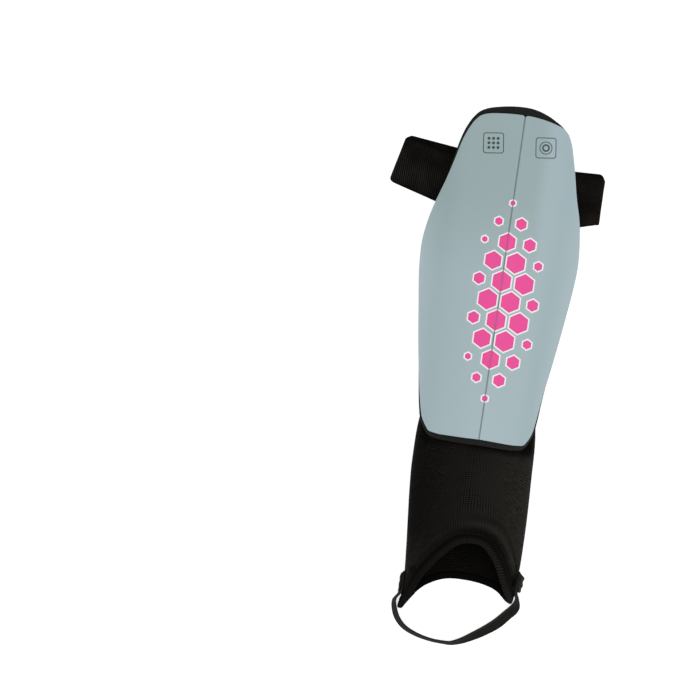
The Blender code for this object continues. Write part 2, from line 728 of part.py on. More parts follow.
def strap_plan(row):
    """Knee and ankle edge of the strap in plan at one station."""
    edges = []
    for edge in ("knee", "ankle"):
        share = row[edge + "_x"]
        reach = STRAP_REACH_LEFT if share < 0.0 else STRAP_REACH_RIGHT
        edges.append(Vector((share * reach, STRAP_LEVEL + row[edge + "_y"] * STRAP_WIDTH)))
    return edges


def upper_ply_height(x, y, depth):
    """Middle height of the strap's upper ply, from the liner's inner face to the floor."""
    flat = STRAP_THICKNESS / 2.0 + 2.0 * STRAP_FOLD_RADIUS
    rim = float(rim_at("left" if x < 0.0 else "right", y))
    distance = depth + STRAP_THICKNESS / 2.0
    rim_x = ARCH_SHIFT + (arch_radius(y) - LINER_INNER_DEPTH - distance) * math.sin(rim)
    past = max(abs(x) - abs(rim_x) + 2.0 * STRAP_THICKNESS, 0.0)
    drop = max(float(under_liner(x, y, distance)) - flat, 0.0)
    fall = 2.0 * max(drop, STRAP_THICKNESS) / abs(math.tan(rim))
    return flat + drop * max(1.0 - past / fall, 0.0) ** 2


def strap_lines():
    """Cross lines of the strap from its left end to its right end."""
    lines = []
    for here, following in zip(STRAP_STATIONS, STRAP_STATIONS[1:]):
        start, end = strap_plan(here), strap_plan(following)
        folding = here["ply"] != following["ply"]
        length = max((e - s).length for s, e in zip(start, end))
        steps = FOLD_STEPS if folding else max(2, math.ceil(length / STRAP_STEP))
        crease = start[0] - start[1]
        outward = Vector((-crease.y, crease.x)).normalized()
        if here["ply"] == "lower":
            outward = -outward
        for k in range(steps):
            share = k / steps
            line = []
            for j in range(STRAP_COLUMNS + 1):
                across = j / STRAP_COLUMNS
                if folding:
                    turn = math.pi * share
                    share_now = (1.0 - math.cos(turn)) / 2.0
                    a = start[0].lerp(start[1], across)
                    b = end[0].lerp(end[1], across)
                    flat = a.lerp(b, share_now) + outward * STRAP_FOLD_RADIUS * math.sin(turn)
                    rise = 1.0 + math.cos(turn) if here["ply"] == "upper" else 1.0 - math.cos(turn)
                    z = STRAP_THICKNESS / 2.0 + STRAP_FOLD_RADIUS * rise
                else:
                    a = start[0].lerp(end[0], share)
                    b = start[1].lerp(end[1], share)
                    flat = a.lerp(b, across)
                    z = strap_height(flat, here["ply"])
                line.append(Vector((flat.x, flat.y, z)))
            lines.append(line)
    last = strap_plan(STRAP_STATIONS[-1])
    line = []
    for j in range(STRAP_COLUMNS + 1):
        flat = last[0].lerp(last[1], j / STRAP_COLUMNS)
        line.append(Vector((flat.x, flat.y, strap_height(flat, "upper"))))
    lines.append(line)
    return lines


def strap_height(flat, ply):
    """Middle height of the strap at a point in plan, by ply."""
    if ply == "lower":
        return STRAP_THICKNESS / 2.0
    depth = SEWN_GAP if flat.x < 0.0 else CLOSURE_THICKNESS + GAP + SEWN_GAP
    return upper_ply_height(flat.x, flat.y, depth)


def make_strap(collection):
    """The wide elastic strap: two upper plies and the ply behind the calf."""
    lines = strap_lines()
    mesh = mapped_grid(STRAP_COLUMNS, len(lines) - 1, lambda column, row: lines[row][column])
    obj = new_object("calf_strap", mesh, ELASTIC_BLACK, 0.9, collection)
    thicken(obj, STRAP_THICKNESS, 0.0)
    return obj


def make_closure_patch(collection):
    """The patch on the liner's inner face that holds the strap's right end."""
    edge = strap_plan(STRAP_STATIONS[-1])
    start_x = max(edge[0].x, edge[1].x)
    middle_y = (edge[0].y + edge[1].y) / 2.0

    def place(column, row):
        x = start_x + CLOSURE_LENGTH * (column / CLOSURE_COLUMNS - 0.5)
        y = middle_y + CLOSURE_WIDTH * (row / CLOSURE_ROWS - 0.5)
        return Vector((x, y, float(under_liner(x, y, GAP + CLOSURE_THICKNESS / 2.0))))

    mesh = mapped_grid(CLOSURE_COLUMNS, CLOSURE_ROWS, place)
    obj = new_object("closure_patch", mesh, ELASTIC_BLACK, 0.95, collection)
    thicken(obj, CLOSURE_THICKNESS, 0.0)
    return obj


def sleeve_side(side, y):
    """The sleeve's outermost x at y on one side."""
    reach = float(sleeve_value(side, y)) * SLEEVE_HALF_WIDTH
    return -reach if side == "left" else reach


def sewn_place(side, y, distance):
    """A point beside the sleeve, a distance out from its side."""
    x = sleeve_side(side, y)
    z = float(sleeve_value("side", y)) * SLEEVE_SIDE_HEIGHT
    return Vector((x - distance if side == "left" else x + distance, y, z))


def stirrup_lines():
    """The stirrup's centre line with the direction of its width at each point."""
    distance = SEWN_GAP + STIRRUP_THICKNESS / 2.0
    points, leans = [], []
    for share in (0.5, 0.0, -0.55):
        points.append(sewn_place("left", LEFT_TAB_MIDDLE + share * TAB_LENGTH, distance))
        leans.append(90.0)
    for row in STIRRUP_STATIONS:
        reach = STIRRUP_REACH_LEFT if row["across"] < 0.0 else STIRRUP_REACH_RIGHT
        lean = math.radians(row["lean"])
        half_height = STIRRUP_WIDTH * math.sin(lean) + STIRRUP_THICKNESS * math.cos(lean)
        z = row["lift"] * STIRRUP_WIDTH + half_height / 2.0
        points.append(Vector((row["across"] * reach, -row["along"] * STIRRUP_DROOP, z)))
        leans.append(row["lean"])
    for share in (-0.55, 0.0, 0.5):
        points.append(sewn_place("right", RIGHT_TAB_MIDDLE + share * TAB_LENGTH, distance))
        leans.append(90.0)
    lengths = [0.0]
    for here, following in zip(points, points[1:]):
        lengths.append(lengths[-1] + (following - here).length)
    rows = [{"run": s, "x": p.x, "y": p.y, "z": p.z, "lean": a}
            for s, p, a in zip(lengths, points, leans)]
    count = round(lengths[-1] / STIRRUP_STEP)
    runs = np.linspace(0.0, lengths[-1], count + 1)
    centre = np.column_stack([follow(rows, "run", axis, runs) for axis in "xyz"])
    lean = np.radians(follow(rows, "run", "lean", runs))
    return centre, lean


def make_stirrup(collection):
    """The elastic band under the foot, standing nearly on edge where it lies."""
    centre, lean = stirrup_lines()
    tangents = np.gradient(centre, axis=0)

    def place(column, row):
        direction = Vector((tangents[row][0], tangents[row][1], 0.0)).normalized()
        inward = Vector((-direction.y, direction.x, 0.0))
        width = inward * math.cos(lean[row]) + Vector((0.0, 0.0, math.sin(lean[row])))
        return Vector(centre[row]) + width * STIRRUP_WIDTH * (column / STIRRUP_COLUMNS - 0.5)

    mesh = mapped_grid(STIRRUP_COLUMNS, len(centre) - 1, place)
    obj = new_object("stirrup", mesh, ELASTIC_BLACK, 0.9, collection)
    thicken(obj, STIRRUP_THICKNESS, 0.0)
    return obj


def make_stirrup_tab(side, middle_y, collection):
    """The stirrup's turned-back end, sewn over the band on one side of the sleeve."""
    distance = SEWN_GAP + STIRRUP_THICKNESS + GAP + TAB_THICKNESS / 2.0
    ends = [sewn_place(side, middle_y + share * TAB_LENGTH, distance) for share in (-0.5, 0.5)]
    bm = bmesh.new()
    bmesh.ops.create_cube(bm, size=1.0)
    bmesh.ops.scale(bm, vec=(TAB_THICKNESS, TAB_LENGTH, TAB_HEIGHT), verts=bm.verts)
    mesh = bpy.data.meshes.new("tab")
    bm.to_mesh(mesh)
    bm.free()
    obj = new_object("stirrup_tab_" + side, mesh, ELASTIC_BLACK, 0.9, collection)
    obj.location = (ends[0] + ends[1]) / 2.0
    obj.rotation_euler.z = math.atan2(ends[0].x - ends[1].x, ends[1].y - ends[0].y)
    round_rim(obj, TAB_ROUNDING, 2)
    return obj


def clear_scene():
    """Remove whatever the file holds."""
    for obj in list(bpy.data.objects):
        bpy.data.objects.remove(obj, do_unlink=True)


def centre_on_floor(root, parts):
    """Move the whole guard so that the origin is under the middle of its box."""
    bpy.context.view_layer.update()
    depsgraph = bpy.context.evaluated_depsgraph_get()
    corners = []
    for obj in parts:
        solid = obj.evaluated_get(depsgraph)
        corners.extend(solid.matrix_world @ vertex.co for vertex in solid.data.vertices)
    low = [min(corner[axis] for corner in corners) for axis in range(3)]
    high = [max(corner[axis] for corner in corners) for axis in range(3)]
    root.location = (-(low[0] + high[0]) / 2.0, -(low[1] + high[1]) / 2.0, -low[2])


def main():
    """Model every piece and hang them all on one empty."""
    clear_scene()
    parts = bpy.data.collections.new("shin_guard")
    cutters = bpy.data.collections.new("cutters")
    bpy.context.scene.collection.children.link(parts)
    bpy.context.scene.collection.children.link(cutters)
    root = bpy.data.objects.new("guard_root", None)
    parts.objects.link(root)

    shell = make_plate(
        "shell", shell_outline(), 0.0, SHELL_WALL, SHELL_RIM_ROUNDING, (SHELL_GREY, 0.32), parts)
    cut_groove(shell, cutters)
    liner = make_plate(
        "liner", LINER_EDGES, LINER_DEPTH, LINER_THICKNESS, LINER_RIM_ROUNDING,
        (FOAM_BLACK, 0.9), parts)
    pieces = [
        shell,
        liner,
        make_sleeve(parts),
        make_hem_band(parts),
        make_strap(parts),
        make_closure_patch(parts),
        make_stirrup(parts),
        make_stirrup_tab("left", LEFT_TAB_MIDDLE, parts),
        make_stirrup_tab("right", RIGHT_TAB_MIDDLE, parts),
    ]
    for obj in (*pieces, *cutters.objects):
        obj.parent = root
    centre_on_floor(root, pieces)


main()
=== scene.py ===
"""Dressed shin guard: hard shell, foam liner, knitted ankle sleeve, calf strap, stirrup.

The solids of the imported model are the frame. Each visible piece is modelled again at the
same place with its real surface, and rides on the guard's one body.
All lengths are in metres. "Guard" coordinates have x = 0 on the moulded groove and y = 0
at the groove's ankle end; the form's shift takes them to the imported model's place.
"""

from __future__ import annotations

import logging
import math
from collections.abc import Callable, Iterable
from dataclasses import dataclass, field
from enum import Enum

import bpy
import numpy as np
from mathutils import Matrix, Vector

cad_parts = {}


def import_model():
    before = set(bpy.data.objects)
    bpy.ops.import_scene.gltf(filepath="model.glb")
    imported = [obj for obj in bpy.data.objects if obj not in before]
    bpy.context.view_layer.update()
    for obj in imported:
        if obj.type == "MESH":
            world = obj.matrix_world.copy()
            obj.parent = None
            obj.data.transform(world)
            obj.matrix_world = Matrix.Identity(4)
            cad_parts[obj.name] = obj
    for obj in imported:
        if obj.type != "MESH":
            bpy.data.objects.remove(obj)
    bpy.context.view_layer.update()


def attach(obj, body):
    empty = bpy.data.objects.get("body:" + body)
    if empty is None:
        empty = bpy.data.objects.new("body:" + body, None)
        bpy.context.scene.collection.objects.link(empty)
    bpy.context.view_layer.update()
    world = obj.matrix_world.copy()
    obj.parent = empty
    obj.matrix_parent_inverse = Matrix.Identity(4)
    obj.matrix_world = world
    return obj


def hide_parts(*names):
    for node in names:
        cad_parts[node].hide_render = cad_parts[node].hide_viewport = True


Array = np.ndarray
Rows = tuple[tuple[float, ...], ...]
Colour = tuple[float, float, float]

# Angle in degrees past which an edge stays sharp
SHARP_ANGLE = 50.0
# Edge width of a drawn mask, and of the print's finest one
MASK_EDGE = 0.00008
DOT_FIELD_EDGE = 0.00002
# Share of a net's spacing that is closer together near its ends
CROWDING = 0.45

log = logging.getLogger("shin_guard")


class Slot(Enum):
    """Material slots of the record that the pieces stand for."""

    SHELL = "shell_plastic"
    FOAM = "foam"
    KNIT = "knit"
    RIB = "ribbed_knit"
    STRAP = "strap_elastic"
    STIRRUP = "stirrup_elastic"


class Side(Enum):
    """Sides of the guard, seen from above with the knee end up."""

    LEFT = "left"
    RIGHT = "right"

    @property
    def sign(self) -> float:
        """Direction of this side along x."""
        return -1.0 if self is Side.LEFT else 1.0


class Ply(Enum):
    """Plies of the folded strap behind the calf."""

    UPPER = "upper"
    LOWER = "lower"


def linear(red: int, green: int, blue: int) -> Colour:
    """Turn a colour picked on a screen into the shader's linear values.

    Args:
        red: Red from 0 to 255.
        green: Green from 0 to 255.
        blue: Blue from 0 to 255.

    Returns:
        The colour as three linear values.
    """
    shares = [channel / 255.0 for channel in (red, green, blue)]
    low, high = [s / 12.92 for s in shares], [((s + 0.055) / 1.055) ** 2.4 for s in shares]
    return tuple(a if s <= 0.04045 else b for s, a, b in zip(shares, low, high))


def ease(low: Array | float, high: Array | float, share: Array | float) -> Array:
    """Pass from low to high with a level start and finish, as the share goes from 0 to 1."""
    share = np.clip(share, 0.0, 1.0)
    return low + (high - low) * share * share * (3.0 - 2.0 * share)


def past(value: Array, start: float, span: float) -> Array:
    """Mask that goes from 0 at a start to 1 a span past it."""
    return ease(0.0, 1.0, (value - start) / span)


def hump(distance: Array, width: float) -> Array:
    """A smooth bump: 1 at distance 0 and nearly 0 past twice its width."""
    return np.exp(-((distance / width) ** 2))


def turned(x: Array | Signal, y: Array | Signal, angle: float
           ) -> tuple[Array | Signal, Array | Signal]:
    """Read a place along axes that are turned by an angle in radians."""
    cosine, sine = math.cos(angle), math.sin(angle)
    return x * cosine + y * sine, y * cosine - x * sine


def unit(vectors: Array) -> Array:
    """Scale vectors to length 1."""
    return vectors / np.linalg.norm(vectors, axis=-1, keepdims=True)


def run_along(points: Array) -> Array:
    """Length along a line of points up to each of them."""
    steps = np.linalg.norm(np.diff(points, axis=0), axis=1)
    return np.concatenate(([0.0], np.cumsum(steps)))


def frame_at(across: Array, along: Array, up: Array, origin: Array) -> Array:
    """Join three axes and an origin into a 4 by 4 matrix.

    Args:
        across: The first axis.
        along: The second axis.
        up: The third axis.
        origin: The origin.

    Returns:
        The matrix.
    """
    frame = np.eye(4)
    frame[:3] = np.column_stack((across, along, up, origin))
    return frame


@dataclass(frozen=True)
class Table:
    """Named columns, the first of which is the key, read along a smooth curve."""

    columns: str
    rows: Rows
    turn: float = 0.0

    def read(self, column: str, at: Array | float) -> Array:
        """Read a column at any place.

        Args:
            column: Name of the column.
            at: Place along the key column; it wraps where the table has a turn.

        Returns:
            The column's value at each place.
        """
        rows = np.array(self.rows)
        if self.turn:
            step = np.zeros(rows.shape[1])
            step[0] = self.turn
            rows = np.concatenate((rows[-2:] - step, rows, rows[:2] + step))
            at = np.mod(at, self.turn)
        xs, ys = rows[:, 0], rows[:, self.columns.split().index(column)]
        steps = np.diff(ys) / np.diff(xs)
        slopes = np.concatenate(([steps[0]], (steps[:-1] + steps[1:]) / 2.0, [steps[-1]]))
        slopes[1:-1][steps[:-1] * steps[1:] <= 0.0] = 0.0
        at = np.clip(at, xs[0], xs[-1])
        i = np.clip(np.searchsorted(xs, at, side="right") - 1, 0, len(xs) - 2)
        width = xs[i + 1] - xs[i]
        t = (at - xs[i]) / width
        start = ys[i] * (1 + 2 * t) * (1 - t) ** 2 + slopes[i] * width * t * (1 - t) ** 2
        end = ys[i + 1] * t**2 * (3 - 2 * t) + slopes[i + 1] * width * t**2 * (t - 1)
        return start + end


class Bench:
    """Modelling steps that are shared by all pieces, done with Blender's own operators."""

    @staticmethod
    def clear_selection() -> None:
        """Deselect everything in object mode."""
        if bpy.context.object is not None and bpy.context.object.mode != "OBJECT":
            bpy.ops.object.mode_set(mode="OBJECT")
        bpy.ops.object.select_all(action="DESELECT")

    @classmethod
    def take(cls, piece: bpy.types.Object) -> None:
        """Make a piece the only selected and active one.

        Args:
            piece: The piece to work on.
        """
        cls.clear_selection()
        piece.select_set(True)
        bpy.context.view_layer.objects.active = piece

    @classmethod
    def started(cls, name: str) -> bpy.types.Object:
        """Name the primitive that an operator has just added, and set its place in its mesh.

        Args:
            name: Name of the new piece.

        Returns:
            The new piece.
        """
        piece = bpy.context.object
        piece.name = piece.data.name = name
        bpy.ops.object.transform_apply(location=True, rotation=True, scale=True)
        return piece

    @classmethod
    def surface(cls, name: str, points: Array, us: Array, vs: Array, wrap: bool = False,
                tone: Array | None = None) -> bpy.types.Object:
        """Draw a grid over a net of points, with a UV map in metres.

        Args:
            name: Name of the new piece.
            points: Net of points, rows by columns by 3.
            us: Place across the cloth of each column.
            vs: Place along the cloth of each row.
            wrap: Whether edges of the net meet and are merged.
            tone: Painted light and shade of the cloth at each point of the net, kept as an
                attribute.

        Returns:
            The surface as a new piece.
        """
        cls.clear_selection()
        rows, columns = points.shape[0] - 1, points.shape[1] - 1
        bpy.ops.mesh.primitive_grid_add(
            x_subdivisions=columns, y_subdivisions=rows, size=2.0, calc_uvs=True)
        piece = cls.started(name)
        flat = cls.places(piece)
        column = np.rint((flat[:, 0] + 1.0) / 2.0 * columns).astype(int)
        row = np.rint((flat[:, 1] + 1.0) / 2.0 * rows).astype(int)
        cls.move_to(piece, points[row, column])
        corners = np.zeros(len(piece.data.loops), int)
        piece.data.loops.foreach_get("vertex_index", corners)
        uv = np.column_stack((us[column], vs[row]))[corners].astype(np.float32)
        piece.data.uv_layers.active.data.foreach_set("uv", uv.ravel())
        if tone is not None:
            shades = piece.data.attributes.new("tone", "FLOAT", "POINT")
            shades.data.foreach_set("value", tone[row, column].astype(np.float32))
        if wrap:
            bpy.ops.object.mode_set(mode="EDIT")
            bpy.ops.mesh.select_all(action="SELECT")
            bpy.ops.mesh.remove_doubles(threshold=1e-6)
            bpy.ops.mesh.normals_make_consistent(inside=False)
            bpy.ops.object.mode_set(mode="OBJECT")
        return piece

    @staticmethod
    def places(piece: bpy.types.Object) -> Array:
        """Vertex places of a piece.

        Args:
            piece: The piece to read.

        Returns:
            One row of x, y and z for each vertex.
        """
        found = np.zeros(len(piece.data.vertices) * 3)
        piece.data.vertices.foreach_get("co", found)
        return found.reshape(-1, 3)

    @staticmethod
    def move_to(piece: bpy.types.Object, places: Array) -> None:
        """Move every vertex of a piece to its row of x, y and z."""
        piece.data.vertices.foreach_set("co", np.asarray(places, np.float32).ravel())
        piece.data.update()

    @classmethod
    def apply(cls, piece: bpy.types.Object, kind: str, **settings: object) -> None:
        """Add one modifier to a piece and apply it.

        Args:
            piece: The piece to work on.
            kind: Blender's name of the modifier.
            **settings: The modifier's own settings.
        """
        cls.take(piece)
        modifier = piece.modifiers.new(kind.lower(), kind)
        for key, value in settings.items():
            setattr(modifier, key, value)
        bpy.ops.object.modifier_apply(modifier=modifier.name)

    @classmethod
    def wall(cls, piece: bpy.types.Object, thickness: float, offset: float) -> None:
        """Give an open surface its wall, under it at offset -1 and to both sides at 0."""
        cls.apply(piece, "SOLIDIFY", thickness=thickness, offset=offset)

    @classmethod
    def round_edges(cls, piece: bpy.types.Object, width: float, segments: int) -> None:
        """Round the sharp edges of a piece and smooth the rest.

        Args:
            piece: The piece to finish.
            width: Width of the rounding.
            segments: Number of steps in it.
        """
        cls.apply(piece, "BEVEL", width=width, segments=segments, limit_method="ANGLE",
                  angle_limit=math.radians(SHARP_ANGLE))
        cls.smooth(piece)

    @classmethod
    def band(cls, name: str, points: Array, us: Array, vs: Array, wall: float, rounding: float
             ) -> bpy.types.Object:
        """Model a flat band round a net of points.

        Args:
            name: Name of the new piece.
            points: Net of points at half its thickness.
            us: Place across the band of each column.
            vs: Place along the band of each row.
            wall: Thickness of the band.
            rounding: Width of its rounded edges.

        Returns:
            The band as a new piece.
        """
        piece = cls.surface(name, points, us, vs)
        cls.wall(piece, wall, 0.0)
        cls.round_edges(piece, rounding, 3)
        return piece

    @classmethod
    def smooth(cls, piece: bpy.types.Object, angle: float = SHARP_ANGLE) -> None:
        """Shade a piece smooth and keep the edges that are sharper than an angle."""
        cls.take(piece)
        bpy.ops.object.shade_smooth_by_angle(angle=math.radians(angle))

    @classmethod
    def edit(cls, piece: bpy.types.Object, mode: str,
             chosen: Callable[[Array], Array] | None = None) -> None:
        """Open a piece in edit mode with all its elements or some of its edges selected.

        Args:
            piece: The piece to open.
            mode: EDGE or FACE.
            chosen: Test of the edges' middles; everything is selected where it is left out.
        """
        cls.take(piece)
        bpy.ops.object.mode_set(mode="EDIT")
        bpy.ops.mesh.select_mode(type=mode)
        bpy.ops.mesh.select_all(action="SELECT" if chosen is None else "DESELECT")
        if chosen is None:
            return
        bpy.ops.object.mode_set(mode="OBJECT")
        at, edges = cls.places(piece), piece.data.edges
        middles = np.array([at[list(edge.vertices)].mean(axis=0) for edge in edges])
        edges.foreach_set("select", np.asarray(chosen(middles), bool))
        bpy.ops.object.mode_set(mode="EDIT")

    @staticmethod
    def close_edit() -> None:
        """Leave edit mode."""
        bpy.ops.object.mode_set(mode="OBJECT")

    @classmethod
    def turn_outward(cls, piece: bpy.types.Object) -> None:
        """Turn all faces of a closed piece outward.

        Args:
            piece: The piece to turn.
        """
        cls.edit(piece, "FACE")
        bpy.ops.mesh.normals_make_consistent(inside=False)
        cls.close_edit()

    @classmethod
    def thread(cls, name: str, radius: float, length: float) -> bpy.types.Object:
        """Add a short straight thread along x.

        Args:
            name: Name of the new piece.
            radius: Radius of the thread.
            length: Its length.

        Returns:
            The thread as a new piece.
        """
        cls.clear_selection()
        bpy.ops.mesh.primitive_cylinder_add(
            vertices=6, radius=radius, depth=length, end_fill_type="TRIFAN",
            rotation=(0.0, math.pi / 2.0, 0.0))
        return cls.started(name)

    @classmethod
    def copies(cls, pattern: bpy.types.Object, name: str, frames: Iterable[Array]
               ) -> bpy.types.Object:
        """Copy a small pattern to many places, each with its own mesh, and join them.

        Args:
            pattern: The piece that repeats; it is used up.
            name: Name of the joined piece.
            frames: One 4 by 4 matrix for each copy.

        Returns:
            The joined piece.
        """
        base = np.column_stack((cls.places(pattern), np.ones(len(pattern.data.vertices))))
        made = []
        for frame in frames:
            piece = pattern.copy()
            piece.data = pattern.data.copy()
            bpy.context.collection.objects.link(piece)
            cls.move_to(piece, (base @ np.asarray(frame).T)[:, :3])
            made.append(piece)
        bpy.data.objects.remove(pattern)
        cls.clear_selection()
        for piece in made:
            piece.select_set(True)
        bpy.context.view_layer.objects.active = made[0]
        bpy.ops.object.join()
        joined = bpy.context.object
        joined.name = joined.data.name = name
        cls.smooth(joined)
        return joined


def math_method(operation: str, swapped: bool = False) -> Callable[[Signal, Term], Signal]:
    """Make a method of Signal that adds one kind of Math node.

    Args:
        operation: Blender's name of the operation.
        swapped: Whether the other value comes first.

    Returns:
        The method.
    """

    def method(self: Signal, other: Term) -> Signal:
        """Join the signal and another value."""
        return self.graph.maths(operation, *((other, self) if swapped else (self, other)))

    return method


class Signal:
    """A shader socket that takes part in Python expressions."""

    def __init__(self, graph: Graph, socket: bpy.types.NodeSocket) -> None:
        """Keep the graph and its output socket."""
        self.graph = graph
        self.socket = socket

    __add__ = __radd__ = math_method("ADD")
    __sub__, __rsub__ = math_method("SUBTRACT"), math_method("SUBTRACT", swapped=True)
    __mul__ = __rmul__ = math_method("MULTIPLY")
    __truediv__ = math_method("DIVIDE")
    __pow__ = math_method("POWER")
    least, most = math_method("MINIMUM"), math_method("MAXIMUM")
    above = math_method("GREATER_THAN")
    remainder = math_method("FLOORED_MODULO")

    def __abs__(self) -> Signal:
        """Size without its sign."""
        return self.graph.maths("ABSOLUTE", self)

    def sine(self) -> Signal:
        """Sine of the value in radians."""
        return self.graph.maths("SINE", self)

    def held(self) -> Signal:
        """Value held to 0..1."""
        return self.most(0.0).least(1.0)

    def from_middle(self, period: float) -> Signal:
        """Distance from the middle of a repeat, each of which starts at a whole period."""
        return self.remainder(period) - period / 2.0

    def cord(self) -> Signal:
        """Round profile in each unit: 1 at its middle and 0 at its sides."""
        return 1.0 - (abs(self.from_middle(1.0)) * 2.0) ** 2.0

    def wave(self, length: float, shift: Term = 0.0) -> Signal:
        """Sine from 0 to 1 that repeats in each length."""
        return (self * (2.0 * math.pi / length) + shift).sine() * 0.5 + 0.5

    def under(self, limit: Term, softness: float) -> Signal:
        """Mask that is 1 well under a limit and 0 well over it, with a soft edge."""
        return self.graph.maths("ADD", (limit - self) / softness, 0.5, clamp=True)


Term = Signal | float


class Graph:
    """One material's node tree, written as expressions."""

    def __init__(self, name: str) -> None:
        """Start a named material with its shader.

        Args:
            name: Name of the material.
        """
        self.material = bpy.data.materials.new(name)
        self.material.use_nodes = True
        self.tree = self.material.node_tree
        self.shader = self.tree.nodes["Principled BSDF"]

    def node(self, kind: str, sockets: dict[str, object] | None = None, **settings: object
             ) -> bpy.types.Node:
        """Add a node, set it up and feed its sockets.

        Args:
            kind: Blender's type name of the node.
            sockets: Values or links by socket name or identifier.
            **settings: Its settings, which are set first.

        Returns:
            The new node.
        """
        made = self.tree.nodes.new(kind)
        for key, value in settings.items():
            setattr(made, key, value)
        for key, value in (sockets or {}).items():
            self.feed(made, key, value)
        return made

    def feed(self, node: bpy.types.Node, key: str, value: object) -> None:
        """Set or link one input socket.

        Args:
            node: The node.
            key: Name or identifier of the socket.
            value: A value or a signal.
        """
        found = [s for s in node.inputs if s.identifier == key]
        socket = found[0] if found else node.inputs[key]
        if isinstance(value, Signal):
            self.tree.links.new(value.socket, socket)
        elif hasattr(socket.default_value, "__len__") and len(value) == 3:
            tail = (1.0,) if len(socket.default_value) == 4 else ()
            socket.default_value = (*value, *tail)
        else:
            socket.default_value = value

    def out(self, node: bpy.types.Node, key: str | int = 0) -> Signal:
        """Wrap an output socket of a node."""
        return Signal(self, node.outputs[key])

    def maths(self, operation: str, *values: Term, clamp: bool = False) -> Signal:
        """Add a Math node.

        Args:
            operation: Blender's name of the operation.
            *values: One to three values or signals.
            clamp: Whether the result is held to 0..1.

        Returns:
            The result.
        """
        made = self.tree.nodes.new("ShaderNodeMath")
        made.operation = operation
        made.use_clamp = clamp
        for socket, value in zip(made.inputs, values):
            if isinstance(value, Signal):
                self.tree.links.new(value.socket, socket)
            else:
                socket.default_value = value
        return self.out(made)

    def split(self, vector: Signal) -> tuple[Signal, Signal, Signal]:
        """Three coordinates of a vector."""
        parts = self.node("ShaderNodeSeparateXYZ", {"Vector": vector})
        return self.out(parts, 0), self.out(parts, 1), self.out(parts, 2)

    def place(self, shift: tuple[float, float] = (0.0, 0.0)) -> tuple[Signal, Signal, Signal]:
        """Object coordinates of the surface in metres, with a shift taken off x and y.

        Args:
            shift: What is taken off x and y.

        Returns:
            The three coordinates.
        """
        here = self.out(self.node("ShaderNodeTexCoord"), "Object")
        location = (-shift[0], -shift[1], 0.0)
        moved = self.node("ShaderNodeMapping", {"Vector": here, "Location": location})
        return self.split(self.out(moved))

    def sheet(self) -> tuple[Signal, Signal, Signal]:
        """Place on the cloth in metres: across it, along it, and both as one vector.

        Returns:
            The three signals.
        """
        here = self.out(self.node("ShaderNodeTexCoord"), "UV")
        u, v, _ = self.split(here)
        return u, v, self.point(u, v)

    def tone(self) -> Signal:
        """Painted light and shade that the piece keeps as an attribute."""
        return self.out(self.node("ShaderNodeAttribute", attribute_name="tone"), "Fac")

    def scaled(self, colour: Signal, by: Signal) -> Signal:
        """Colour made lighter or darker by a factor."""
        sockets = {"Vector": colour, "Scale": by}
        return self.out(self.node("ShaderNodeVectorMath", sockets, operation="SCALE"))

    def point(self, x: Term, y: Term, z: Term = 0.0) -> Signal:
        """Join three coordinates into a vector."""
        return self.out(self.node("ShaderNodeCombineXYZ", {"X": x, "Y": y, "Z": z}))

    def reach(self, x: Signal, y: Signal) -> Signal:
        """Length of two sides together."""
        return self.maths("SQRT", x * x + y * y)

    def noise(self, vector: Signal, scale: float, detail: float = 2.0) -> Signal:
        """Soft noise from 0 to 1.

        Args:
            vector: Where it is read.
            scale: Number of blots in a metre.
            detail: Octaves.

        Returns:
            The noise value.
        """
        made = self.node("ShaderNodeTexNoise", {
            "Vector": vector, "Scale": scale, "Detail": detail, "Roughness": 0.55})
        return self.out(made, "Fac")

    def cells(self, vector: Signal, scale: float) -> Signal:
        """Distance to the nearest of many scattered points, so many to a metre."""
        sockets = {"Vector": vector, "Scale": scale}
        return self.out(self.node("ShaderNodeTexVoronoi", sockets, feature="F1"), "Distance")

    def blend(self, factor: Term, first: object, second: object) -> Signal:
        """Mix two colours.

        Args:
            factor: 0 gives the first colour, 1 the second.
            first: A colour or a signal.
            second: A colour or a signal.

        Returns:
            The mixed colour.
        """
        made = self.node("ShaderNodeMix", {
            "Factor_Float": factor, "A_Color": first, "B_Color": second}, data_type="RGBA")
        return Signal(self, next(s for s in made.outputs if s.identifier == "Result_Color"))

    def finished(self, colour: Signal, roughness: Term, specular: float,
                 height: Signal, depth: float, strength: float = 1.0) -> bpy.types.Material:
        """Give the surface its colour, sheen and relief, and hand over the material.

        Args:
            colour: Base colour.
            roughness: Roughness of the surface.
            specular: Level of its highlights.
            height: Height from 0 to 1.
            depth: Height of 1 in metres.
            strength: Share of the relief that shows.

        Returns:
            The finished material.
        """
        made = self.node("ShaderNodeBump", {
            "Height": height, "Distance": depth, "Strength": strength})
        self.set(Base_Color=colour, Roughness=roughness, Specular_IOR_Level=specular,
                 Normal=self.out(made))
        return self.material

    def set(self, **values: object) -> None:
        """Set or link the shader's sockets; an underscore in a name stands for a space."""
        for key, value in values.items():
            self.feed(self.shader, key.replace("_", " "), value)


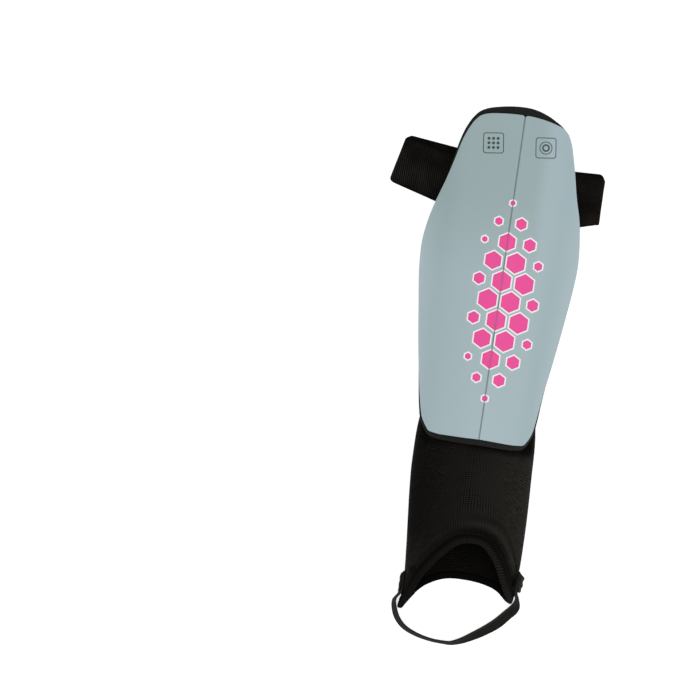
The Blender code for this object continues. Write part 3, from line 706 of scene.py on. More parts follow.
@dataclass(frozen=True)
class SatinPlastic:
    """Satin moulded plastic of the shell, with its prints and soft bands of painted light and
    shade.
    """

    shift: tuple[float, float]
    length: float
    # The base colour is painted shade where the shell tilts away towards the knee, left of the
    # groove; the cool one is painted light to the right and towards the ankle.
    base: Colour = linear(151, 171, 172)
    lit_cool: Colour = linear(162, 182, 187)
    # The groove colour is painted shade in the moulded groove.
    groove: Colour = linear(100, 118, 120)
    pink: Colour = linear(236, 66, 150)
    white: Colour = linear(240, 242, 242)
    line: Colour = linear(44, 54, 56)
    groove_half: float = 0.00038
    hex_pitch: float = 0.0150
    hex_border: float = 0.0009
    field_middle: tuple[float, float] = (0.0035, 0.090)
    field_reach: tuple[float, float] = (0.0235, 0.066)
    # Hexagon radii as shares of the pitch: growth towards the middle, largest, smallest
    hex_radii: tuple[float, float, float] = (0.62, 0.46, 0.13)
    field_end: float = 1.28
    dot_badge: tuple[float, float] = (-0.0183, 0.1934)
    ring_badge: tuple[float, float] = (0.0164, 0.1950)
    badge_half: float = 0.0066
    badge_corner: float = 0.0016
    badge_line: float = 0.00029
    badge_turn: float = math.radians(7.0)
    dot_pitch: float = 0.0030
    dot_radius: float = 0.0010
    # radius, half width
    ring_lines: Rows = ((0.0040, 0.00030), (0.0020, 0.00055))

    def hexagons(self, graph: Graph, x: Signal, y: Signal) -> tuple[Signal, Signal]:
        """Draw a graded honeycomb over the groove.

        Args:
            graph: The material's graph.
            x: Across the guard.
            y: Along the guard.

        Returns:
            Mask of each whole hexagon and mask of its inner field.
        """
        wide, slant = self.hex_pitch, math.sqrt(3.0) / 2.0
        tall = 2.0 * slant * wide
        first = (x.from_middle(wide), y.from_middle(tall))
        second = ((x + wide / 2.0).from_middle(wide), (y + tall / 2.0).from_middle(tall))
        reach = [a * a + b * b for a, b in (first, second)]
        nearer = reach[1].above(reach[0])
        near_x, near_y = (b + (a - b) * nearer for a, b in zip(first, second))
        off_x, off_y = ((place - near - middle) / size for place, near, middle, size in zip(
            (x, y), (near_x, near_y), self.field_middle, self.field_reach))
        growth, largest, smallest = (share * wide for share in self.hex_radii)
        radius = ((self.field_end - graph.reach(off_x, off_y)) * growth).least(largest)
        radius = radius * radius.above(smallest)
        side = abs(near_x).most(abs(near_x) * 0.5 + abs(near_y) * slant)
        return side.under(radius, MASK_EDGE), side.under(radius - self.hex_border, MASK_EDGE)

    def outline(self, graph: Graph, x: Signal, y: Signal) -> Signal:
        """Draw a thin square outline with rounded corners.

        Args:
            graph: The material's graph.
            x: Distance from its middle along one side.
            y: Distance from its middle along the other side.

        Returns:
            Mask of the line.
        """
        flat = self.badge_half - self.badge_corner
        past_x, past_y = abs(x) - flat, abs(y) - flat
        corner = graph.reach(past_x.most(0.0), past_y.most(0.0))
        distance = corner + past_x.most(past_y).least(0.0) - self.badge_corner
        return abs(distance).under(self.badge_line, MASK_EDGE)

    def badges(self, graph: Graph, x: Signal, y: Signal) -> Signal:
        """Draw both badges: one with three by three dots, one with two rings.

        Args:
            graph: The material's graph.
            x: Across the guard.
            y: Along the guard.

        Returns:
            Mask of all their lines.
        """
        across, along = self.dot_badge
        dots = turned(x - across, y - along, self.badge_turn)
        across, along = self.ring_badge
        rings = turned(x - across, y - along, self.badge_turn)
        pitch = self.dot_pitch
        near_x, near_y = ((place + pitch / 2.0).from_middle(pitch) for place in dots)
        dot = graph.reach(near_x, near_y).under(self.dot_radius, MASK_EDGE)
        field = abs(dots[0]).most(abs(dots[1])).under(1.5 * pitch, DOT_FIELD_EDGE)
        drawn = self.outline(graph, *dots) + self.outline(graph, *rings) + dot * field
        for radius, half in self.ring_lines:
            drawn = drawn + abs(graph.reach(*rings) - radius).under(half, MASK_EDGE)
        return drawn.least(1.0)

    def make(self) -> bpy.types.Material:
        """Build the material.

        Returns:
            The finished material.
        """
        graph = Graph("satin_plastic")
        x, y, z = graph.place(self.shift)
        here = graph.point(x, y, z)
        cloud = graph.noise(graph.point(x, y * 0.25, z), 26.0, 1.0) - 0.5
        # Painted light and shade: lighter and bluer to the right and towards the ankle, darker
        # towards the knee.
        right = 1.0 - x.under(0.0175, 0.009)
        toward_ankle = y.under(0.60 * self.length, 0.055)
        band = right.most(toward_ankle) + cloud * 0.5
        colour = graph.blend(band.held(), self.base, self.lit_cool)
        # Painted shade: the shell's side edges, where the arch turns away, are a little darker.
        colour = graph.scaled(colour, abs(x + 0.001).under(0.043, 0.012) * 0.035 + 0.965)
        whole, inner = self.hexagons(graph, x, y)
        colour = graph.blend(whole, colour, self.white)
        colour = graph.blend(inner, colour, self.pink)
        colour = graph.blend(self.badges(graph, x, y) * 0.95, colour, self.line)
        # Painted shade in the moulded groove, weaker over the pink print.
        groove_shade = abs(x).under(self.groove_half, 0.00025)
        colour = graph.blend(groove_shade * (0.85 - inner * 0.35), colour, self.groove)
        fine = graph.noise(here, 2600.0)
        scuff = graph.noise(graph.point(x * 6.0, y, z), 160.0, 3.0)
        graph.set(IOR=1.46)
        roughness = 0.33 + (scuff - 0.5) * 0.10 + whole * 0.05 + (fine - 0.5) * 0.04
        return graph.finished(colour, roughness, 0.42, fine * 0.4 + whole * 0.35, 0.00004, 0.6)


@dataclass(frozen=True)
class ClosedCellFoam:
    """Black closed-cell foam with fine pores, with painted light on its right ankle corner."""

    base: Colour = linear(22, 22, 23)
    # The worn colour serves the foam's random lighter patches and the painted light on its right
    # ankle corner.
    worn: Colour = linear(40, 39, 38)
    corner: tuple[float, float] = (0.005, -0.030)
    corner_reach: float = 0.035

    def make(self) -> bpy.types.Material:
        """Build the material.

        Returns:
            The finished material.
        """
        graph = Graph("closed_cell_foam")
        x, y, z = graph.place()
        here = graph.point(x, y, z)
        pores = graph.cells(here, 1500.0)
        cloud = graph.noise(here, 60.0, 3.0)
        across, along = self.corner
        # Painted light on the right ankle corner.
        lit = (x - across).least(self.corner_reach).most(0.0) * y.under(along, 0.010) * 12.0
        colour = graph.blend(cloud * 0.7 + pores * 0.25 + lit, self.base, self.worn)
        roughness = 0.86 + (cloud - 0.5) * 0.12
        return graph.finished(colour, roughness, 0.10, pores * 0.6 + cloud * 0.6, 0.00022, 0.8)


@dataclass(frozen=True)
class FineKnit:
    """Fine black knit: upright wales over the front, cross ribs at either side."""

    name: str
    front: float
    thread: Colour = linear(47, 44, 40)
    shade: Colour = linear(6, 6, 5)
    wale: float = 0.00132
    course: float = 0.00140
    depth: float = 0.00030
    slack: float = 0.9
    front_half: float = 0.0130
    toned: bool = True

    def make(self) -> bpy.types.Material:
        """Build the material.

        Returns:
            The finished material.
        """
        graph = Graph(self.name)
        u, v, here = graph.sheet()
        turn = 2.0 * math.pi
        drift = (graph.noise(here, 32.0) - 0.5) * (self.slack * turn)
        wale = (u * (turn / self.wale) + drift * 0.6).sine()
        course = (v * (turn / self.course) + drift).sine()
        break_up = graph.noise(graph.point(u * 0.45, v), 900.0, 1.0)
        dash = course * ((break_up - 0.40) * 6.0).most(0.0).least(1.5)
        grid = (wale + course) * 0.5 + (wale * course) * 0.45
        aside = abs(u - self.front) / self.front_half + (graph.noise(here, 70.0) - 0.5) * 1.2
        yarn = (dash + (grid - dash) * aside.under(1.0, 0.6)) * 0.5 + 0.5
        patch = ((graph.noise(here, 75.0, 3.0) - 0.42) * 4.5).held() * 0.90 + 0.14
        fuzz = graph.noise(here, 2600.0, 3.0)
        lit = 0.34 + (yarn - 0.5) * patch * 1.15 + (fuzz - 0.5) * 0.34
        colour = graph.blend(lit.held(), self.shade, self.thread)
        bump = yarn * patch * 1.2 + fuzz * 0.15
        # The tone attribute carries the painted light and shade of the sleeve.
        if self.toned:
            colour = graph.scaled(colour, graph.tone())
            bump = bump * graph.tone().least(1.0)
        return graph.finished(colour, 0.93 - yarn * 0.06, 0.05, bump, self.depth)


@dataclass(frozen=True)
class RibbedEdge:
    """Ribbed binding of the foot opening, whose ribs slacken to the left."""

    shift: tuple[float, float]
    thread: Colour = linear(44, 42, 38)
    shade: Colour = linear(6, 6, 5)
    # plain: the inner face's colour, painted shade inside the opening.
    plain: Colour = linear(13, 13, 12)
    pitch: float = 0.0017
    slant: float = 0.006
    stitch: float = 0.0008
    outer_end: float = 0.0092
    slack_from: float = -0.004

    def make(self) -> bpy.types.Material:
        """Build the material.

        Returns:
            The finished material.
        """
        graph = Graph("ribbed_edge")
        u, v, here = graph.sheet()
        drift = (graph.noise(here, 120.0) - 0.5) * 0.5
        rib = (u / self.pitch + v / self.slant + drift).cord()
        stitch = v.wave(self.stitch)
        fuzz = graph.noise(here, 5200.0)
        x, _, _ = graph.place(self.shift)
        rough = graph.noise(here, 420.0, 3.0) * 1.1
        rib = rib + (rough - rib) * x.under(self.slack_from, 0.020) * 0.8
        lit = rib * (stitch * 0.3 + 0.40) + (fuzz - 0.5) * 0.3
        colour = graph.blend(lit.held(), self.shade, self.thread)
        # The inner face takes the plain colour, painted shade inside the opening; the tone
        # attribute scales in the band's painted light and shade.
        outer = v.under(self.outer_end, 0.0006)
        colour = graph.scaled(graph.blend(outer, self.plain, colour), graph.tone())
        bump = (rib * 0.8 + stitch * 0.15) * outer + fuzz * 0.1
        return graph.finished(colour, 0.9 - rib * 0.06, 0.05, bump, 0.00030, 0.9)


@dataclass(frozen=True)
class TwillElastic:
    """Wide woven elastic: short floats in slanting rows between two plain selvedges."""

    width: float
    thread: Colour = linear(55, 50, 45)
    shade: Colour = linear(1, 1, 1)
    pitch: float = 0.00150
    slant: float = 0.60
    cord_share: float = 0.9
    selvedge: float = 0.0014

    def make(self) -> bpy.types.Material:
        """Build the material.

        Returns:
            The finished material.
        """
        graph = Graph("twill_elastic")
        u, v, here = graph.sheet()
        drift = (graph.noise(here, 90.0) - 0.5) * 0.3
        twill = ((u * self.slant + v) / self.pitch + drift).from_middle(1.0)
        warp = (u / (self.pitch * self.cord_share) + drift * 0.3).cord()
        float_over = (1.0 - abs(twill) * 3.0).most(0.0)
        inside = abs(u - self.width / 2.0).under(self.width / 2.0 - self.selvedge, 0.0003)
        weave = float_over * (warp * 0.9 + 0.1) * inside + warp * (0.20 - inside * 0.14)
        fuzz = graph.noise(here, 4800.0)
        worn = (graph.noise(here, 70.0) * 2.6 - 0.45).most(0.1)
        lit = weave * worn + 0.02 + (fuzz - 0.5) * 0.08
        # Painted shade towards the strap's knee edge and painted light towards its ankle edge.
        lit = lit * (0.55 + 0.45 * (u / self.width).most(0.0))
        colour = graph.blend(lit.held(), self.shade, self.thread)
        bump = weave + fuzz * 0.1
        return graph.finished(colour, 0.88 - weave * 0.1, 0.05, bump, 0.00022, 0.9)


@dataclass(frozen=True)
class CordedElastic:
    """Narrow elastic with lengthwise cords and lighter edges."""

    width: float
    thread: Colour = linear(40, 39, 36)
    shade: Colour = linear(8, 8, 7)
    edge: Colour = linear(52, 51, 47)
    pitch: float = 0.00125
    weft: float = 0.0007
    border: float = 0.0009

    def make(self) -> bpy.types.Material:
        """Build the material.

        Returns:
            The finished material.
        """
        graph = Graph("corded_elastic")
        u, v, here = graph.sheet()
        rope = (u / self.pitch).cord()
        weft = v.wave(self.weft, rope * 1.5)
        fuzz = graph.noise(here, 5200.0)
        inside = abs(u - self.width / 2.0).under(self.width / 2.0 - self.border, 0.0004)
        lit = rope * (weft * 0.35 + 0.4) + (graph.noise(here, 60.0) - 0.5) * 0.3
        colour = graph.blend((lit + (fuzz - 0.5) * 0.2).held(), self.shade, self.thread)
        colour = graph.blend((1.0 - inside) * 0.6, colour, self.edge)
        bump = rope * 0.7 + weft * 0.25 + fuzz * 0.1
        return graph.finished(colour, 0.88 - rope * 0.1, 0.06, bump, 0.00022, 0.9)


@dataclass(frozen=True)
class SpunThread:
    """Black sewing thread with its twist."""

    tone: Colour = linear(17, 16, 15)
    shade: Colour = linear(3, 3, 3)
    twist: float = 0.0006

    def make(self) -> bpy.types.Material:
        """Build the material.

        Returns:
            The finished material.
        """
        graph = Graph("spun_thread")
        x, y, z = graph.place()
        twist = (x + y + z).wave(self.twist)
        fuzz = graph.noise(graph.point(x, y, z), 6000.0)
        colour = graph.blend(twist * 0.6 + fuzz * 0.3, self.shade, self.tone)
        return graph.finished(colour, 0.8 + fuzz * 0.15, 0.08, twist, 0.00008, 0.8)


@dataclass(frozen=True)
class HookTape:
    """Hook side of a touch fastener: rows of tiny hooks on a tape."""

    tone: Colour = linear(40, 40, 41)
    shade: Colour = linear(12, 12, 13)
    pitch: float = 0.0013

    def make(self) -> bpy.types.Material:
        """Build the material.

        Returns:
            The finished material.
        """
        graph = Graph("hook_tape")
        x, y, z = graph.place()
        row = (y / self.pitch).from_middle(1.0)
        column = (x / self.pitch + z / self.pitch).from_middle(1.0)
        hook = (1.0 - (row * row + column * column) * 6.0).most(0.0)
        colour = graph.blend(hook, self.shade, self.tone)
        return graph.finished(colour, 0.6 - hook * 0.2, 0.35, hook, 0.0006)


@dataclass(frozen=True)
class StudioPaper:
    """Pale seamless paper of the studio floor."""

    tone: Colour = (0.72, 0.72, 0.72)
    fibre: Colour = (0.78, 0.78, 0.78)
    glow: float = 0.68

    def make(self) -> bpy.types.Material:
        """Build the material.

        Returns:
            The finished material.
        """
        graph = Graph("studio_paper")
        fibre = graph.noise(graph.point(*graph.place()), 900.0)
        graph.set(
            Base_Color=graph.blend(fibre * 0.25, self.tone, self.fibre),
            Roughness=0.9,
            Specular_IOR_Level=0.1,
            Emission_Color=(1.0, 1.0, 1.0),
            Emission_Strength=self.glow)
        return graph.material


def settle(piece: bpy.types.Object, finish: bpy.types.Material, slot: Slot | None,
           *stands_for: str) -> bpy.types.Object:
    """Dress a finished piece, tie it to the guard and report it.

    Args:
        piece: The finished piece.
        finish: Its material.
        slot: The record's slot that it stands for; it is not used.
        *stands_for: The CAD nodes that it replaces.

    Returns:
        The same piece.
    """
    piece.data.materials.clear()
    piece.data.materials.append(finish)
    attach(piece, "root")
    if stands_for:
        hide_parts(*stands_for)
    log.info("%s: %d faces", piece.name, len(piece.data.polygons))
    return piece


@dataclass
class ArchForm:
    """Arched form that the shell, the liner, the sleeve and the strap all follow."""

    length: float = 0.2154
    left_half: float = 0.0558
    right_half: float = 0.0488
    shell_wall: float = 0.0023
    liner_wall: float = 0.0045
    gap: float = 0.0003
    knee_rise: float = 0.0083
    ankle_dip: float = 0.0050
    arch_shift: float = -0.0030
    ridge: float = 0.0008
    ridge_reach: float = 0.014
    strap_wall: float = 0.0015
    shift: tuple[float, float] = (0.012138, -0.040371)
    lips: dict[str, float] = field(default_factory=lambda: {
        "knee": 0.0055, "left_shoulder": 0.0034, "right_shoulder": 0.0008,
        "side": 0.0008, "ankle": 0.0038, "ankle_corner": 0.0032})
    sides: Table = Table("along left right", (
        (0.014, 0.651, 0.668), (0.035, 0.699, 0.703), (0.070, 0.738, 0.730),
        (0.140, 0.792, 0.768), (0.244, 0.860, 0.840), (0.384, 0.935, 0.926),
        (0.488, 0.986, 0.980), (0.558, 1.000, 1.000), (0.628, 0.971, 0.980),
        (0.698, 0.905, 0.932), (0.767, 0.821, 0.850), (0.837, 0.749, 0.783),
        (0.893, 0.695, 0.723), (0.930, 0.643, 0.676), (0.956, 0.591, 0.621),
    ))
    knee_end: Table = Table("across rise", (
        (-1.00, 0.00), (-0.90, 0.46), (-0.76, 0.73), (-0.50, 0.90), (-0.20, 0.99), (0.00, 1.00),
        (0.33, 0.92), (0.67, 0.66), (0.90, 0.34), (1.00, 0.00),
    ))
    ankle_end: Table = Table("across dip", (
        (-1.00, 0.00), (-0.94, 0.55), (-0.83, 0.80), (-0.71, 0.90), (-0.30, 0.90), (0.00, 0.86),
        (0.30, 0.92), (0.61, 1.00), (0.80, 0.95), (0.92, 0.75), (1.00, 0.00),
    ))
    ankle_lift: float = 0.0045
    knee_drop: float = 0.0060
    crown_line: Table = Table("along lift drop", (
        (-0.60, 1.35, 0.00), (0.00, 1.00, 0.00), (0.54, 0.00, 0.00), (1.00, 0.00, 1.00),
        (1.10, 0.00, 1.20),
    ))
    arch_radii: Table = Table("along radius", (
        (-0.60, 0.052), (0.00, 0.052), (0.54, 0.060), (1.10, 0.062),
    ))

    def __post_init__(self) -> None:
        """Set the height at which the strap's plies just fit under the liner's rims."""
        self.liner_edges = self.widened(self.edges(9, 26))
        rim = np.concatenate((self.liner_edges["left"], self.liner_edges["right"]))
        x, y = rim[:, 0], rim[:, 1]
        radius = self.radius(y)
        angle = np.arcsin((x - self.arch_shift) / radius)
        drop = radius - (radius - self.liner_inner_depth) * np.cos(angle)
        self.crown_height = 0.0
        self.crown_height = float(np.max(drop - self.crown(y))) + self.strap_wall

    @property
    def liner_depth(self) -> float:
        """Depth of the liner's outer face under the shell's outer face."""
        return self.shell_wall + self.gap

    @property
    def liner_inner_depth(self) -> float:
        """Depth of the liner's inner face under the shell's outer face."""
        return self.liner_depth + self.liner_wall

    @staticmethod
    def spacing(count: int) -> Array:
        """Steps from 0 to 1 that are closer together near both ends."""
        even = np.linspace(0.0, 1.0, count + 1)
        return (1.0 - CROWDING) * even + CROWDING * (0.5 - 0.5 * np.cos(math.pi * even))

    def edges(self, per_half: int, rows: int) -> dict[str, Array]:
        """The shell's four edges in plan.

        Args:
            per_half: Columns on each side of the groove.
            rows: Rows from the ankle end to the knee end.

        Returns:
            Points of the ankle, knee, left and right edges.
        """
        half = self.spacing(2 * per_half)[:per_half + 1] * 2.0
        across = np.concatenate((half - 1.0, (1.0 - half)[::-1][1:]))
        first, last = self.sides.rows[0][0], self.sides.rows[-1][0]
        along = first + (last - first) * self.spacing(rows)
        y = along * self.length
        left = -self.sides.read("left", along) * self.left_half
        right = self.sides.read("right", along) * self.right_half
        knee_x = np.abs(across) * np.where(across < 0.0, left[-1], right[-1])
        ankle_x = np.abs(across) * np.where(across < 0.0, left[0], right[0])
        knee_y = y[-1] + self.knee_end.read("rise", across) * self.knee_rise
        ankle_y = y[0] - self.ankle_end.read("dip", across) * self.ankle_dip
        return {
            "ankle": np.column_stack((ankle_x, ankle_y)),
            "knee": np.column_stack((knee_x, knee_y)),
            "left": np.column_stack((left, y)),
            "right": np.column_stack((right, y)),
        }

    def widened(self, edges: dict[str, Array]) -> dict[str, Array]:
        """The liner's edges: the shell's, moved out by the lips.

        Args:
            edges: The shell's edges.

        Returns:
            The liner's edges.
        """
        corner = self.lips["ankle_corner"]
        side, knee = self.lips["side"], self.lips["knee"]
        right_shoulder, left_shoulder = self.lips["right_shoulder"], self.lips["left_shoulder"]
        lips = (
            (corner, self.lips["ankle"], corner),
            (corner, side, right_shoulder),
            (right_shoulder, knee, left_shoulder),
            (left_shoulder, side, corner),
        )
        runs = (edges["ankle"][:-1], edges["right"][:-1],
                edges["knee"][::-1][:-1], edges["left"][::-1][:-1])
        loop = np.concatenate(runs)
        lip = []
        for run, (start, middle, end) in zip(runs, lips):
            share = np.arange(len(run)) / len(run)
            lip.append(np.where(share < 0.5, ease(start, middle, share * 2.0),
                                ease(middle, end, share * 2.0 - 1.0)))
        tangent = np.roll(loop, -1, axis=0) - np.roll(loop, 1, axis=0)
        outward = np.column_stack((tangent[:, 1], -tangent[:, 0]))
        loop = loop + unit(outward) * np.concatenate(lip)[:, None]
        closed = np.concatenate((loop, loop[:1]))
        ends = np.cumsum([0] + [len(run) for run in runs])
        parts = [closed[ends[k]:ends[k + 1] + 1] for k in range(len(runs))]
        return {"ankle": parts[0], "right": parts[1], "knee": parts[2][::-1],
                "left": parts[3][::-1]}

    @staticmethod
    def fill(edges: dict[str, Array]) -> Array:
        """Fill four edges with a net whose middle column is the groove.

        Args:
            edges: The four edges in plan.

        Returns:
            The net, rows by columns by 2.
        """
        ankle, knee = edges["ankle"], edges["knee"]
        middle = len(ankle) // 2
        share = (edges["left"][:, 1] - edges["left"][0, 1]) / np.ptp(edges["left"][:, 1])
        groove = ankle[middle] + share[:, None] * (knee[middle] - ankle[middle])
        net = np.zeros((len(share), len(ankle), 2))
        v = share[:, None, None]
        for side, span, end in (("left", slice(0, middle + 1), 0),
                                ("right", slice(middle, None), -1)):
            edge = edges[side]
            u = np.abs(ankle[span, 0] / ankle[end, 0])[None, :, None]
            along_rows = (1 - u) * groove[:, None] + u * edge[:, None]
            along_columns = (1 - v) * ankle[None, span] + v * knee[None, span]
            corners = (1 - u) * ((1 - v) * groove[0] + v * groove[-1])
            corners = corners + u * ((1 - v) * edge[0] + v * edge[-1])
            net[:, span] = along_rows + along_columns - corners
        return net

    def radius(self, y: Array) -> Array:
        """Radius of the shell's outer face across the guard."""
        return self.arch_radii.read("radius", y / self.length)

    def crown(self, y: Array) -> Array:
        """Height of the shell's outer face over its middle line.

        Args:
            y: Places along the guard.

        Returns:
            The heights.
        """
        along = y / self.length
        lift = self.crown_line.read("lift", along) * self.ankle_lift
        return self.crown_height + lift - self.crown_line.read("drop", along) * self.knee_drop

    def height(self, x: Array, y: Array) -> Array:
        """Height of the shell's outer face.

        Args:
            x: Places across the guard.
            y: Places along the guard.

        Returns:
            The heights.
        """
        radius = self.radius(y)
        arch = np.sqrt(radius**2 - (x - self.arch_shift) ** 2) - radius
        return self.crown(y) + arch + self.ridge * np.exp(-np.abs(x) / self.ridge_reach)

    def under(self, x: Array, y: Array, depth: float) -> Array:
        """Points at a depth under the shell's outer face, along its normal.

        Args:
            x: Places across the guard.
            y: Places along the guard.
            depth: Depth under the outer face.

        Returns:
            The points, with a last axis of 3.
        """
        step = 0.0004
        slope_x = (self.height(x + step, y) - self.height(x - step, y)) / (2.0 * step)
        slope_y = (self.height(x, y + step) - self.height(x, y - step)) / (2.0 * step)
        normal = np.stack((-slope_x, -slope_y, np.ones_like(slope_x)), axis=-1)
        return np.stack((x, y, self.height(x, y)), axis=-1) - unit(normal) * depth

    def rim(self, side: Side, y: Array) -> Array:
        """Angle of the liner's side rim from the crown.

        Args:
            side: The side of the guard.
            y: Places along the guard.

        Returns:
            The angles in radians.
        """
        edge = self.liner_edges[side.value]
        y = np.clip(y, edge[0, 1], edge[-1, 1])
        x = np.interp(y, edge[:, 1], edge[:, 0])
        return np.arcsin((x - self.arch_shift) / self.radius(y))

    def inside_liner(self, x: Array, y: Array, distance: float) -> Array:
        """Height at a distance inside the liner's inner face, level past its rims.

        Args:
            x: Places across the guard.
            y: Places along the guard.
            distance: Distance from the inner face.

        Returns:
            The heights.
        """
        edge = self.liner_edges["left"]
        y = np.clip(y, edge[0, 1], edge[-1, 1])
        inner = self.radius(y) - self.liner_inner_depth - distance
        angle = np.arcsin(np.clip((x - self.arch_shift) / inner, -1.0, 1.0))
        angle = np.clip(angle, self.rim(Side.LEFT, y), self.rim(Side.RIGHT, y))
        return self.crown(y) - self.radius(y) + inner * np.cos(angle)

    def past_liner(self, y: Array) -> Array:
        """Distance past the liner's ankle end."""
        return self.liner_edges["ankle"][:, 1].min() - y

    @staticmethod
    def cloth(net: Array) -> tuple[Array, Array]:
        """Place across the cloth of each column of a plan net, and along it of each row."""
        middle = net.shape[0] // 2
        return net[middle, :, 0], net[:, net.shape[1] // 2, 1]

    def sheet(self, name: str, edges: dict[str, Array], depth: float) -> bpy.types.Object:
        """Draw a surface that follows the arch.

        Args:
            name: Name of the new piece.
            edges: Its four edges in plan.
            depth: Depth under the shell's outer face.

        Returns:
            The surface as a new piece.
        """
        net = self.fill(edges)
        points = self.placed(self.under(net[..., 0], net[..., 1], depth))
        return Bench.surface(name, points, *self.cloth(net))

    def placed(self, points: Array) -> Array:
        """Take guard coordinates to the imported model's place."""
        return points + np.array((*self.shift, 0.0))


@dataclass
class Shell:
    """The hard outer shell with its groove and the notch at its knee end."""

    form: ArchForm
    per_half: int = 44
    rows: int = 170
    rounding: float = 0.0007
    groove_half: float = 0.0006
    groove_depth: float = 0.0005
    notch_radius: float = 0.0013
    notch_depth: float = 0.0011
    notch_reach: float = 0.012

    def build(self) -> bpy.types.Object:
        """Model the shell.

        Returns:
            The finished shell.
        """
        form = self.form
        piece = form.sheet("shell_dressed", form.edges(self.per_half, self.rows), 0.0)
        self.cut_groove(piece)
        self.cut_notch(piece)
        Bench.wall(piece, form.shell_wall, -1.0)
        Bench.round_edges(piece, self.rounding, 3)
        return piece

    def cut_groove(self, piece: bpy.types.Object) -> None:
        """Split the middle line of edges and sink what lies between.

        Args:
            piece: The open shell surface.
        """
        middle = self.form.shift[0]
        Bench.edit(piece, "EDGE", lambda at: np.abs(at[:, 0] - middle) < 1e-5)
        bpy.ops.mesh.bevel(offset=self.groove_half, segments=6, affect="EDGES")
        Bench.close_edit()
        at = Bench.places(piece)
        off = np.abs(at[:, 0] - middle) / self.groove_half
        at[:, 2] -= self.groove_depth * np.sqrt(np.clip(1.0 - off**2, 0.0, 1.0))
        Bench.move_to(piece, at)

    def cut_notch(self, piece: bpy.types.Object) -> None:
        """Press the notch into the knee end at the groove.

        Args:
            piece: The open shell surface.
        """
        at = Bench.places(piece)
        off = at[:, 0] - self.form.shift[0]
        near = hump(off, self.notch_radius * 0.7)
        reach = self.notch_reach
        fade = past(at[:, 1] - at[:, 1].max(), -reach, reach)
        at[:, 1] -= self.notch_depth * near * fade
        Bench.move_to(piece, at)

    def dress(self, piece: bpy.types.Object) -> bpy.types.Object:
        """Give the shell its plastic."""
        finish = SatinPlastic(self.form.shift, self.form.length).make()
        return settle(piece, finish, Slot.SHELL, "shell")


@dataclass
class Liner:
    """The foam liner that shows past the shell as a dark rim."""

    form: ArchForm
    per_half: int = 30
    rows: int = 110
    rounding: float = 0.0014

    def build(self) -> bpy.types.Object:
        """Model the liner: a foam sheet with a rounded lip.

        Returns:
            The finished liner.
        """
        form = self.form
        edges = form.widened(form.edges(self.per_half, self.rows))
        piece = form.sheet("liner_dressed", edges, form.liner_depth)
        Bench.wall(piece, form.liner_wall, -1.0)
        Bench.round_edges(piece, self.rounding, 4)
        return piece

    def dress(self, piece: bpy.types.Object) -> bpy.types.Object:
        settle(piece, ClosedCellFoam().make(), Slot.FOAM, "liner")
        return piece


